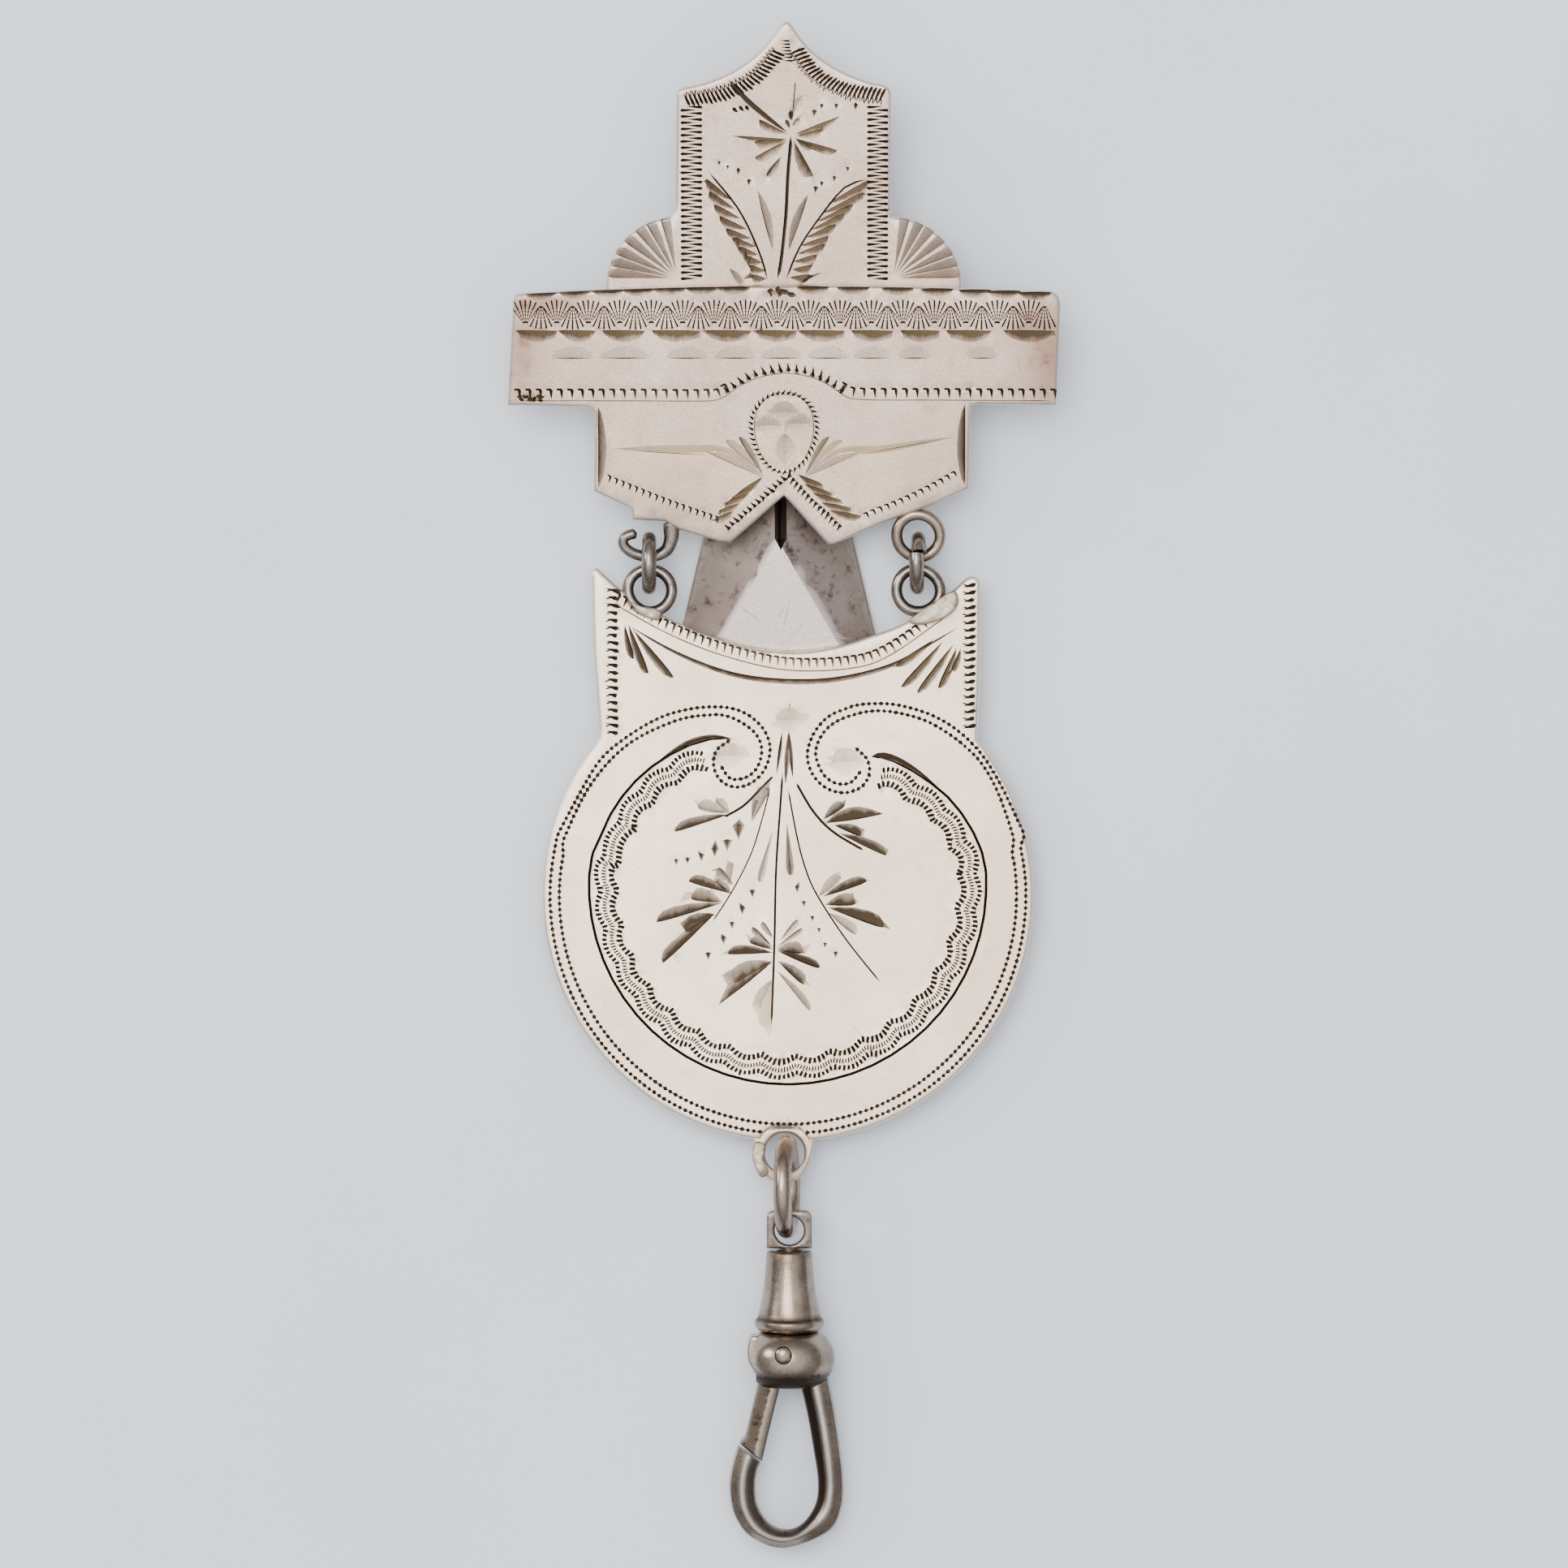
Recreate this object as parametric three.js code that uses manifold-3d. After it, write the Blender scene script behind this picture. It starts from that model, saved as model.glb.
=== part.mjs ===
// Silver waistband fob for a pocket watch: a crown and bar worn over the trouser
// waistband on a spring clip, an engraved pendant hung from it by two jump rings, and a swivel
// clip below for the watch. Millimetres. The piece lies on its back: +X across, +Y towards the
// crown's tip, +Z up from the table, with the origin under the middle of the outline.

import * as THREE from 'three';
import { mergeVertices } from 'three/addons/utils/BufferGeometryUtils.js';
import { ConvexGeometry } from 'three/addons/geometries/ConvexGeometry.js';
import Module from 'manifold-3d';

const wasm = await Module();
wasm.setup();

const rad = THREE.MathUtils.degToRad;
const gap = 0.15;                 // between pieces that are soldered or rest on each other

// Plaque: crown and bar, leaning back on the clip.
const plaqueLean = rad(8);
const plaqueFootY = 20;           // where the plaque's own frame has its origin
const plaqueFootZ = 3.4;          // the apron's underside there
const crownThickness = 1.1;
const barThickness = 1.2;
const plateBevel = 0.22;
const crownTipY = 57.45;
const crownHalfWidth = 8.05;
const crownShoulderY = 52.35;
const fanRadius = 5.3;
const fanCentreY = 37.4;
const barTopY = 37.75;
const barFootY = 28.65;
const barTopHalfWidth = 20.3;
const barFootHalfWidth = 20.75;
const apronHalfWidth = 14.05;

// Waist clip: a spring strip folded behind the crown, ending in a broad blade.
const stripThickness = 0.8;
const bendCentreY = 51.5;
const bendRadius = 2.82;          // of the strip's middle line
const bendHalfWidth = 1.7;
const flexY = 48.95;              // where the strip flexes
const bladeX = -0.45;
const neckHalfWidth = 2.4;
const bladeShoulderY = 32.5;      // the blade widens from here down
const bladeTaper = 0.234;         // half width gained per millimetre
const wingSlope = 0.35;
const facetTopY = 18.3;           // the middle facet's apex
const facetSlope = 0.123;
const tailY = -3.5;

// Pendant: one flat plate.
const pendantZ = 2.2;             // underside
const pendantThickness = 1.1;
const discRadius = 18.5;
const discCentre = new THREE.Vector2(0.3, -8.4);

// Round wire: the suspension rings and links.
const ringWire = 0.43;            // radius
const ringRadius = 1.62;          // of the wire's middle line
const linkWire = 0.54;
const linkRadius = 1.84;
const upperRingY = 18.75;
const lowerRingY = 14.58;
const rightX = 10.1;
const leftX = -10.1;
const linkY = 16.62;
const linkZ = 3.17;
const lugRingRadius = 1.93;
const lugRingY = -27.7;
const connectorWire = 0.68;
const connectorRadius = 3.22;
const connectorX = 0.2;
const connectorY = -30.3;
const connectorZ = 3.95;

// Swivel clip, in a frame at the middle of its ball, with +Y along the barrel to the eye.
const clipLean = rad(5);
const ballCentre = new THREE.Vector3(0.4, -43.2, 3.4);
const ballRadius = 3.4;
const ballHalfHeight = 2.05;
const eyeHoleY = 9.7;
const eyeHoleRadius = 1.1;
const eyeThickness = 1.1;
const shankRadius = 0.75;
const shankClearance = 0.2;
const barrelTopY = 8.15;
const barrelRimY = 2.15;
const slotHeight = 2.2;           // of the gate's slot through the ball
const slotTopY = 1.95;
const slotEndX = 2.1;
const cheekRadius = 2.75;
const gateHeadRadius = 1.2;
const gateHeight = 1.8;
const hookHeight = 2.3;
const pinX = -0.45;
const pinY = 0.6;
const pinRadius = 0.6;

const ringSides = 9;
const ringSteps = 26;
const turnSteps = 32;

// --- solids ---------------------------------------------------------------------------------

function solid(geometry) {
  const bare = geometry.index ? geometry.toNonIndexed() : geometry.clone();
  bare.deleteAttribute('normal');
  bare.deleteAttribute('uv');
  const merged = mergeVertices(bare, 1e-4);
  const mesh = new wasm.Mesh({
    numProp: 3,
    vertProperties: new Float32Array(merged.attributes.position.array),
    triVerts: new Uint32Array(merged.index.array),
  });
  return new wasm.Manifold(mesh);
}

function geometryOf(body) {
  const mesh = body.getMesh();
  const geometry = new THREE.BufferGeometry();
  geometry.setAttribute('position', new THREE.BufferAttribute(mesh.vertProperties, 3));
  geometry.setIndex(new THREE.BufferAttribute(mesh.triVerts, 1));
  geometry.computeVertexNormals();
  return geometry;
}

// A sheet with both edges of its outline eased, its underside at z = 0.
function sheet(shape, thickness, bevel = plateBevel, curveSegments = 10) {
  const geometry = new THREE.ExtrudeGeometry(shape, {
    depth: thickness - 2 * bevel,
    bevelThickness: bevel,
    bevelSize: bevel,
    bevelOffset: -bevel,
    bevelSegments: 1,
    curveSegments,
  });
  return geometry.translate(0, 0, bevel);
}

function cylinder(radius, length, x, y, z, segments = turnSteps) {
  return new THREE.CylinderGeometry(radius, radius, length, segments)
    .rotateX(Math.PI / 2)
    .translate(x, y, z);
}

function box(width, depth, height, x, y, z) {
  return new THREE.BoxGeometry(width, depth, height).translate(x, y, z);
}

function ring(radius, wire) {
  return new THREE.TorusGeometry(radius, wire, ringSides, ringSteps);
}

function lathe(profile, steps = turnSteps) {
  return new THREE.LatheGeometry(profile.map(([r, y]) => new THREE.Vector2(r, y)), steps);
}

function tube(points, wire, steps) {
  const section = new THREE.Shape().absarc(0, 0, wire, 0, 2 * Math.PI);
  return new THREE.ExtrudeGeometry(section, {
    extrudePath: new THREE.CatmullRomCurve3(points),
    steps,
    curveSegments: 5,
    bevelEnabled: false,
  });
}

function spline(shape, points) {
  shape.splineThru(points.map(([x, y]) => new THREE.Vector2(x, y)));
}

// --- outlines -------------------------------------------------------------------------------

// Ogee-topped shield with a quarter-round fan at each foot, in the plaque's frame.
function crownOutline() {
  const y = (height) => height - plaqueFootY;
  const foot = barTopY - 2.2;
  const shape = new THREE.Shape();
  shape.moveTo(-crownHalfWidth - fanRadius, y(foot));
  shape.lineTo(-crownHalfWidth - fanRadius, y(fanCentreY));
  shape.absarc(-crownHalfWidth, y(fanCentreY), fanRadius, Math.PI, Math.PI * 0.53, true);
  shape.lineTo(-crownHalfWidth - 0.1, y(43.2));
  shape.lineTo(-crownHalfWidth, y(crownShoulderY - 0.5));
  shape.quadraticCurveTo(-crownHalfWidth, y(crownShoulderY), -crownHalfWidth + 0.6, y(crownShoulderY + 0.1));
  shape.quadraticCurveTo(-2.6, y(53.3), -0.25, y(crownTipY - 0.35));
  shape.quadraticCurveTo(0.25, y(crownTipY + 0.25), 0.7, y(crownTipY - 0.45));
  shape.quadraticCurveTo(2.4, y(54.0), crownHalfWidth - 1.2, y(crownShoulderY + 0.4));
  shape.quadraticCurveTo(crownHalfWidth, y(crownShoulderY + 0.4), crownHalfWidth, y(crownShoulderY - 0.5));
  shape.lineTo(crownHalfWidth - 0.05, y(42.75));
  shape.absarc(crownHalfWidth, y(fanCentreY), fanRadius, Math.PI * 0.47, 0, true);
  shape.lineTo(crownHalfWidth + fanRadius, y(foot));
  return shape;
}

// Broad bar over a two-lobed apron with a notch cut up its middle, in the plaque's frame.
function barOutline() {
  const y = (height) => height - plaqueFootY;
  const shape = new THREE.Shape();
  shape.moveTo(-barFootHalfWidth, y(barFootY));
  shape.lineTo(-barTopHalfWidth, y(36.6));
  shape.quadraticCurveTo(-barTopHalfWidth + 0.1, y(37.05), -barTopHalfWidth + 0.6, y(37.05));
  shape.quadraticCurveTo(0, y(barTopY + 0.45), barTopHalfWidth - 0.3, y(37.2));
  shape.quadraticCurveTo(barTopHalfWidth + 0.35, y(37.1), barTopHalfWidth + 0.45, y(36.3));
  shape.lineTo(barFootHalfWidth - 0.3, y(barFootY));
  shape.lineTo(apronHalfWidth, y(barFootY + 0.05));
  shape.lineTo(apronHalfWidth - 0.15, y(22.35));
  shape.lineTo(11.4, y(21.2));
  shape.lineTo(7.4, y(19.75));
  shape.lineTo(3.75, y(18.1));
  shape.lineTo(3.3, y(18.15));
  shape.lineTo(0, y(21.8));
  shape.lineTo(-4.0, y(18.3));
  shape.lineTo(-4.75, y(18.3));
  shape.lineTo(-7.9, y(19.25));
  shape.lineTo(-9.0, y(19.9));
  shape.lineTo(-11.4, y(20.0));
  shape.lineTo(-11.5, y(20.8));
  shape.lineTo(-apronHalfWidth - 0.25, y(22.15));
  shape.lineTo(-apronHalfWidth - 0.15, y(28.1));
  shape.lineTo(-apronHalfWidth - 0.7, y(28.5));
  return shape;
}

// Disc with two pointed ears that carry the suspension rings.
function pendantOutline() {
  const { x, y } = discCentre;
  const rightFoot = rad(39.5);
  const leftFoot = rad(140);
  const shape = new THREE.Shape();
  shape.moveTo(x + discRadius * Math.cos(rightFoot), y + discRadius * Math.sin(rightFoot));
  shape.lineTo(14.8, 10);
  shape.lineTo(14.8, 15.2);
  shape.quadraticCurveTo(14.5, 15.9, 13.7, 15.5);
  shape.quadraticCurveTo(10.5, 12.3, 6.6, 11.2);
  shape.quadraticCurveTo(0.6, 8.8, -4.9, 11.0);
  shape.quadraticCurveTo(-8.6, 12.0, -12.6, 14.9);
  shape.lineTo(-14.1, 16.3);
  shape.lineTo(-14.5, 16.1);
  shape.lineTo(-14.35, 10);
  shape.absarc(x, y, discRadius, leftFoot, rightFoot + 2 * Math.PI, false);
  return shape;
}

// --- waist clip -----------------------------------------------------------------------------

// The strip's fold, drawn side-on in (y, z) and given its width along X.
function bendGeometry() {
  const half = stripThickness / 2;
  const centreZ = half + bendRadius;
  const armLength = 4;
  const armFall = armLength * Math.tan(plaqueLean);
  const outer = bendRadius + half;
  const inner = bendRadius - half;
  const side = new THREE.Shape();
  side.moveTo(flexY + gap / 2, 0);
  side.lineTo(bendCentreY, 0);
  side.absarc(bendCentreY, centreZ, outer, -Math.PI / 2, Math.PI / 2 + plaqueLean, false);
  side.lineTo(bendCentreY - armLength, centreZ + outer - armFall);
  side.lineTo(bendCentreY - armLength, centreZ + inner - armFall);
  side.absarc(bendCentreY, centreZ, inner, Math.PI / 2 + plaqueLean, -Math.PI / 2, true);
  side.lineTo(flexY + gap / 2, stripThickness);
  const geometry = new THREE.ExtrudeGeometry(side, {
    depth: 2 * bendHalfWidth,
    bevelEnabled: false,
    curveSegments: 12,
  });
  // (x, y, z) of the drawing becomes (y, z, x) of the piece.
  const turn = new THREE.Matrix4().makeBasis(
    new THREE.Vector3(0, 1, 0), new THREE.Vector3(0, 0, 1), new THREE.Vector3(1, 0, 0));
  return geometry.applyMatrix4(turn).translate(-bendHalfWidth, 0, 0);
}

function bladeHalfWidth(y) {
  return neckHalfWidth + bladeTaper * (bladeShoulderY - y);
}

// Two wings sloping down from a ridge, with a flat triangular facet widening down the middle.
function bladeGeometry() {
  const lowY = 4;
  const ridge = (y) => stripThickness + wingSlope * bladeHalfWidth(y);
  const facet = (y) => ridge(facetTopY) - facetSlope * (facetTopY - y);
  const deep = -10;
  const facetHalf = (y) => (ridge(y) - facet(y)) / wingSlope;
  const corner = (x, y, z) => new THREE.Vector3(bladeX + x, y, z);
  const wide = bladeHalfWidth(lowY);
  const roofPoints = [
    corner(0, facetTopY, ridge(facetTopY)),
    corner(0, bladeShoulderY, ridge(bladeShoulderY)),
  ];
  for (const side of [-1, 1]) {
    roofPoints.push(corner(side * facetHalf(lowY), lowY, facet(lowY)));
    for (const z of [stripThickness, deep]) {
      roofPoints.push(corner(side * wide, lowY, z), corner(side * neckHalfWidth, bladeShoulderY, z));
    }
  }
  const roof = solid(new ConvexGeometry(roofPoints));
  const vault = roof.subtract(roof.translate([0, 0, -stripThickness]));
  const above = solid(box(60, 60, 10, 0, 20, 5));
  const wings = vault.intersect(above);

  const tail = new THREE.Shape();
  tail.moveTo(bladeX - wide, lowY + 0.4);
  tail.lineTo(bladeX - wide, lowY);
  tail.quadraticCurveTo(bladeX - wide, tailY, bladeX, tailY);
  tail.quadraticCurveTo(bladeX + wide, tailY, bladeX + wide, lowY);
  tail.lineTo(bladeX + wide, lowY + 0.4);
  const tailPlate = solid(new THREE.ExtrudeGeometry(tail, { depth: stripThickness, bevelEnabled: false }));

  const neckLength = flexY - gap / 2 - bladeShoulderY + 3;
  const neckTop = flexY - gap / 2;
  const neck = new THREE.Shape();
  neck.moveTo(bladeX - neckHalfWidth, neckTop - neckLength);
  neck.lineTo(bladeX + neckHalfWidth, neckTop - neckLength);
  neck.lineTo(bendHalfWidth, neckTop);
  neck.lineTo(-bendHalfWidth, neckTop);
  const neckPlate = solid(new THREE.ExtrudeGeometry(neck, { depth: stripThickness, bevelEnabled: false }));

  // Stiffening groove pressed into the ridge above the facet.
  const grooveLength = 12;
  const grooveY = facetTopY + grooveLength / 2;
  const groove = solid(box(0.9, grooveLength, 1, bladeX + 0.2, grooveY, ridge(facetTopY) + 0.1));
  return geometryOf(wings.add(tailPlate).add(neckPlate).subtract(groove));
}

// --- rings ----------------------------------------------------------------------------------

// The torn ring under the bar's left end: a flat lug, then bare wire curling to a free end.
function openRingGeometry() {
  const path = [[1.55, 0.75], [1.62, -0.2], [1.2, -1.15], [0.1, -1.6], [-1.2, -1.35],
    [-2.0, -0.75], [-1.9, -0.1], [-0.95, 0.2]];
  return tube(path.map(([x, y]) => new THREE.Vector3(x, y, 0)), ringWire, 22);
}

// Flat blob of solder with an uneven rim.
function solderGeometry(points, height) {
  const shape = new THREE.Shape();
  shape.moveTo(...points[0]);
  spline(shape, points.slice(1));
  return sheet(shape, height, 0.08, 2);
}

// --- swivel clip ----------------------------------------------------------------------------

function eyeGeometry() {
  const half = 1.72;
  const top = eyeHoleY + 1.5;
  const foot = eyeHoleY - 1.35;
  const tab = new THREE.Shape();
  tab.moveTo(-half, foot);
  tab.lineTo(half, foot);
  tab.lineTo(half, top - 0.5);
  tab.quadraticCurveTo(half, top, half - 0.5, top);
  tab.lineTo(-half + 0.5, top);
  tab.quadraticCurveTo(-half, top, -half, top - 0.5);
  tab.holes.push(new THREE.Path().absarc(0, eyeHoleY, eyeHoleRadius, 0, 2 * Math.PI, true));
  const plate = solid(sheet(tab, eyeThickness, 0.12).translate(0, 0, -eyeThickness / 2));
  const headTop = 5.1;
  const headFoot = 4.4;
  const shank = solid(lathe([[0, headFoot], [1.1, headFoot], [1.25, headFoot + 0.2], [1.25, headTop],
    [shankRadius, headTop], [shankRadius, foot + 0.1], [0, foot + 0.1]]));
  return geometryOf(plate.add(shank));
}

function barrelGeometry() {
  const bore = shankRadius + shankClearance;
  const wallY = 5.25;
  return lathe([[bore, barrelTopY], [bore, wallY], [1.5, wallY], [1.75, 3.4], [1.75, barrelRimY],
    [2.35, barrelRimY], [2.58, 2.5], [2.62, 2.8], [2.5, 2.95], [2.1, 4.4], [1.78, 6.6],
    [1.72, barrelTopY], [bore, barrelTopY]]);
}

// The ball's turned outline: a flattened sphere with small flats at its poles.
function ballBody(grow = 0) {
  const half = ballHalfHeight + grow;
  const poleAngle = rad(62);
  const steps = 9;
  const profile = [[0, -half]];
  for (let i = 0; i <= steps; i += 1) {
    const angle = poleAngle * (2 * i / steps - 1);
    const radius = 1.05 + (ballRadius - 1.05) * Math.cos(angle) + grow;
    profile.push([radius, half * Math.sin(angle) / Math.sin(poleAngle)]);
  }
  profile.push([0, half]);
  return solid(lathe(profile));
}

function ballGeometry() {
  const spigot = solid(lathe([[0, 0], [1.6, 0], [1.6, 3.3], [0, 3.3]]));
  const slot = solid(box(7.5, 7, slotHeight, slotEndX - 3.75, slotTopY - 3.5, 0));
  const flat = solid(box(3, 9, 9, -4.0, 0, 0));
  const pinHole = solid(cylinder(pinRadius + gap, 9, pinX, pinY, 0, 20));
  return geometryOf(ballBody().add(spigot).subtract(slot).subtract(flat).subtract(pinHole));
}

// The open loop that holds the watch's bow, from its root in the ball round to the nose.
function hookGeometry() {
  const shape = new THREE.Shape();
  shape.moveTo(0.75, -1.6);
  spline(shape, [[1.8, -6.8], [2.15, -9.3], [1.95, -11.1], [0.9, -12.6], [-0.2, -12.95],
    [-1.6, -12.4], [-2.4, -11.1], [-2.5, -9.4], [-2.15, -7.9]]);
  shape.lineTo(-2.75, -6.5);
  shape.lineTo(-3.8, -6.5);
  spline(shape, [[-4.4, -8.3], [-4.52, -10.2], [-4.1, -12.0], [-2.9, -13.55], [-0.9, -14.35],
    [1.2, -14.2], [3.1, -13.0], [4.0, -11.2], [4.08, -9.2], [3.75, -6.0], [3.0, -1.6]]);
  const bar = solid(sheet(shape, hookHeight, 0.42, 3).translate(0, 0, -hookHeight / 2));
  return geometryOf(bar.subtract(ballBody(gap)));
}

// Lever: a round head in the ball's slot and a straight arm whose tip lies behind the nose.
function gateGeometry() {
  const head = solid(cylinder(gateHeadRadius, gateHeight, pinX, pinY, 0, 24));
  const cheekSide = solid(box(4, 6.1, 4, pinX - 1.7, slotTopY - gap - 3.05, 0));
  const cheek = solid(cylinder(cheekRadius, gateHeight, pinX, pinY, 0, 36)).intersect(cheekSide);
  const arm = new THREE.Shape();
  arm.moveTo(-2.55, 0.2);
  arm.lineTo(-3.45, -6.2);
  arm.lineTo(-2.75, -6.2);
  arm.lineTo(-1.6, -7.85);
  arm.lineTo(-0.55, -2.2);
  arm.lineTo(-0.3, 0.2);
  const bar = solid(sheet(arm, gateHeight, 0.3).translate(0, 0, -gateHeight / 2));
  const hole = solid(cylinder(pinRadius + gap, 4, pinX, pinY, 0, 20));
  const low = solid(box(8, 12, 4, pinX, slotTopY - gap - 6, 0));
  return geometryOf(head.add(cheek).add(bar).intersect(low).subtract(hole));
}

// Rivet through the ball, its ends filed flush and slightly domed.
function pinGeometry() {
  const reach = 3.2;
  const end = [[0, reach + 0.2], [0.35, reach + 0.15], [pinRadius, reach]];
  const profile = end.map(([r, y]) => [r, -y]).concat(end.reverse());
  return lathe(profile, 20).rotateX(Math.PI / 2).translate(pinX, pinY, 0);
}

// Leaf that keeps the gate shut, lying in the slot against the head.
function springGeometry() {
  const leaf = new THREE.Shape();
  const backX = slotEndX - gap;
  leaf.moveTo(backX - 0.2, slotTopY - gap);
  leaf.quadraticCurveTo(backX - 0.75, pinY, backX - 0.2, -1.1);
  leaf.lineTo(backX, -1.1);
  leaf.quadraticCurveTo(backX - 0.5, pinY, backX, slotTopY - gap);
  return new THREE.ExtrudeGeometry(leaf, { depth: 1.4, bevelEnabled: false, curveSegments: 6 })
    .translate(0, 0, -0.7);
}

// --- assembly -------------------------------------------------------------------------------

const group = new THREE.Group();
const satinSilver = { color: 0xdfd3cb, roughness: 0.38, metalness: 1 };
const brightSilver = { color: 0xefe8e2, roughness: 0.3, metalness: 1 };
const darkSilver = { color: 0x9a938c, roughness: 0.28, metalness: 1 };
const warmSilver = { color: 0xb7a595, roughness: 0.32, metalness: 1 };
const brownSilver = { color: 0x6f6159, roughness: 0.4, metalness: 1 };
const solderGrey = { color: 0xb4aa97, roughness: 0.55, metalness: 0.9 };
const springSteel = { color: 0x77777a, roughness: 0.35, metalness: 1 };

function add(parent, name, geometry, finish) {
  const mesh = new THREE.Mesh(geometry, new THREE.MeshStandardMaterial(finish));
  mesh.name = name;
  parent.add(mesh);
  return mesh;
}

const plaque = new THREE.Group();
plaque.position.set(0, plaqueFootY, plaqueFootZ);
plaque.rotation.x = plaqueLean;
group.add(plaque);

const ringDisc = solid(cylinder(ringRadius + ringWire + gap, 6, rightX, upperRingY - plaqueFootY, 0, 40));
const barPlate = solid(sheet(barOutline(), barThickness)).subtract(ringDisc);
const crownPlate = sheet(crownOutline(), crownThickness).translate(0, 0, -crownThickness - gap);
add(plaque, 'crown_plate', crownPlate, satinSilver);
add(plaque, 'bar_apron_plate', geometryOf(barPlate), satinSilver);
add(plaque, 'upper_right_ring', ring(ringRadius, ringWire), darkSilver)
  .position.set(rightX, upperRingY - plaqueFootY, barThickness / 2);
add(plaque, 'upper_left_open_ring', openRingGeometry(), darkSilver)
  .position.set(leftX, upperRingY - plaqueFootY, barThickness / 2);

add(group, 'clip_bend', bendGeometry(), brownSilver);
add(group, 'waist_blade', bladeGeometry(), brownSilver);

for (const [name, x] of [['right_link', rightX], ['left_link', leftX]]) {
  const link = add(group, name, ring(linkRadius, linkWire), darkSilver);
  link.rotation.y = Math.PI / 2;
  link.position.set(x - 0.05, linkY, linkZ);
}

const pendantMiddle = pendantZ + pendantThickness / 2;
const pendantBlank = sheet(pendantOutline(), pendantThickness, plateBevel, 16);
let pendantPlate = solid(pendantBlank.translate(0, 0, pendantZ));
for (const [x, y, radius] of [
  [rightX, lowerRingY, ringRadius],
  [leftX, lowerRingY, ringRadius],
  [0, lugRingY, lugRingRadius],
]) {
  const seat = cylinder(radius + ringWire + gap, 6, x, y, pendantZ, 40);
  pendantPlate = pendantPlate.subtract(solid(seat));
}
add(group, 'pendant_plate', geometryOf(pendantPlate), brightSilver);
add(group, 'lower_right_ring', ring(ringRadius, ringWire), darkSilver)
  .position.set(rightX, lowerRingY, pendantMiddle);
add(group, 'lower_left_ring', ring(ringRadius, ringWire), darkSilver)
  .position.set(leftX, lowerRingY, pendantMiddle);
add(group, 'bottom_lug_ring', ring(lugRingRadius, ringWire), warmSilver)
  .position.set(0, lugRingY, pendantMiddle);

const solderZ = pendantZ + pendantThickness + gap;
const rightSolder = solderGeometry([[9.4, 12.2], [10.6, 12.0], [12.4, 12.7], [13.1, 13.6],
  [12.9, 14.5], [12.2, 14.3], [11.3, 13.7], [10.2, 13.0], [9.5, 12.5]], 0.4);
const leftSolder = solderGeometry([[-11.0, 12.9], [-9.6, 12.3], [-9.2, 12.8], [-9.7, 13.2],
  [-10.8, 13.4], [-11.5, 13.7]], 0.35);
const lugSolder = solderGeometry([[-2.1, -26.9], [-1.4, -27.2], [-1.5, -28.2], [-1.2, -29.2],
  [-1.7, -29.6], [-2.2, -28.8], [-2.4, -27.8]], 0.3);
add(group, 'lower_right_solder', rightSolder.translate(0, 0, solderZ), solderGrey);
add(group, 'lower_left_solder', leftSolder.translate(0, 0, solderZ), solderGrey);
add(group, 'bottom_lug_solder', lugSolder, solderGrey)
  .position.set(0, 0, pendantMiddle + ringWire + gap);

const connector = add(group, 'connector_link', ring(connectorRadius, connectorWire), darkSilver);
connector.rotation.set(0, Math.PI / 2 - rad(6), 0);
connector.position.set(connectorX, connectorY, connectorZ);

const clip = new THREE.Group();
clip.position.copy(ballCentre);
clip.rotation.x = clipLean;
group.add(clip);

add(clip, 'swivel_eye', eyeGeometry(), warmSilver);
add(clip, 'swivel_barrel', barrelGeometry(), warmSilver);
add(clip, 'ball_collar', ballGeometry(), darkSilver);
add(clip, 'hook_body', hookGeometry(), warmSilver);
add(clip, 'gate', gateGeometry(), warmSilver);
add(clip, 'gate_pin', pinGeometry(), darkSilver);
add(clip, 'gate_spring', springGeometry(), springSteel);

// The origin sits under the middle of the outline.
group.updateMatrixWorld(true);
const extent = new THREE.Box3().setFromObject(group, true);
group.position.set(-(extent.min.x + extent.max.x) / 2, -(extent.min.y + extent.max.y) / 2, -extent.min.z);

export default group;
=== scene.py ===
# Silver waistband fob for a watch: the looks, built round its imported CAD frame.
# Shapes are worked out in millimetres with X across, Y towards the crown's tip and Z up.
import math
import bpy
import numpy as np
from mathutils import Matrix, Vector
from mathutils.geometry import delaunay_2d_cdt


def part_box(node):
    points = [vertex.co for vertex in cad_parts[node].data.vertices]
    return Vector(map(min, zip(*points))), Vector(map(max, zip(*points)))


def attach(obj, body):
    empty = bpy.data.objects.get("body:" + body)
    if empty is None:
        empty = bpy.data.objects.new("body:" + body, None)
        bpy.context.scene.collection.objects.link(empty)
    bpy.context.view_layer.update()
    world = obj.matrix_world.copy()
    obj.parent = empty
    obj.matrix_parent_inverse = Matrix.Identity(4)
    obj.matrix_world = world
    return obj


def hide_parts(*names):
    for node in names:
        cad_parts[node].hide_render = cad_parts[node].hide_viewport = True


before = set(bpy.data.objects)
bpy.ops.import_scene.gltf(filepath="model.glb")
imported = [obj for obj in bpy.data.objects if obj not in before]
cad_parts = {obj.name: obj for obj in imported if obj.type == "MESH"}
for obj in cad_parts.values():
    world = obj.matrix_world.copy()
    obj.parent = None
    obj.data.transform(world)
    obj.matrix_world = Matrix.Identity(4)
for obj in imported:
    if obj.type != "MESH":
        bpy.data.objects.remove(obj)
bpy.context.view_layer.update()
scene = bpy.context.scene
dice = np.random.default_rng(11)

# rings are given as radius of the wire's middle line and radius of the wire
ring = {"upperPlace": (10.1, 18.75), "lowerPlace": (10.1, 14.58), "radius": 1.62, "wire": 0.43, "bore": 1.75,
        "link": 1.84, "linkWire": 0.54, "linkPlace": (16.62, 3.17),
        "connector": 3.22, "connectorWire": 0.68, "connectorPlace": (0.2, -30.3, 3.95)}
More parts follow.
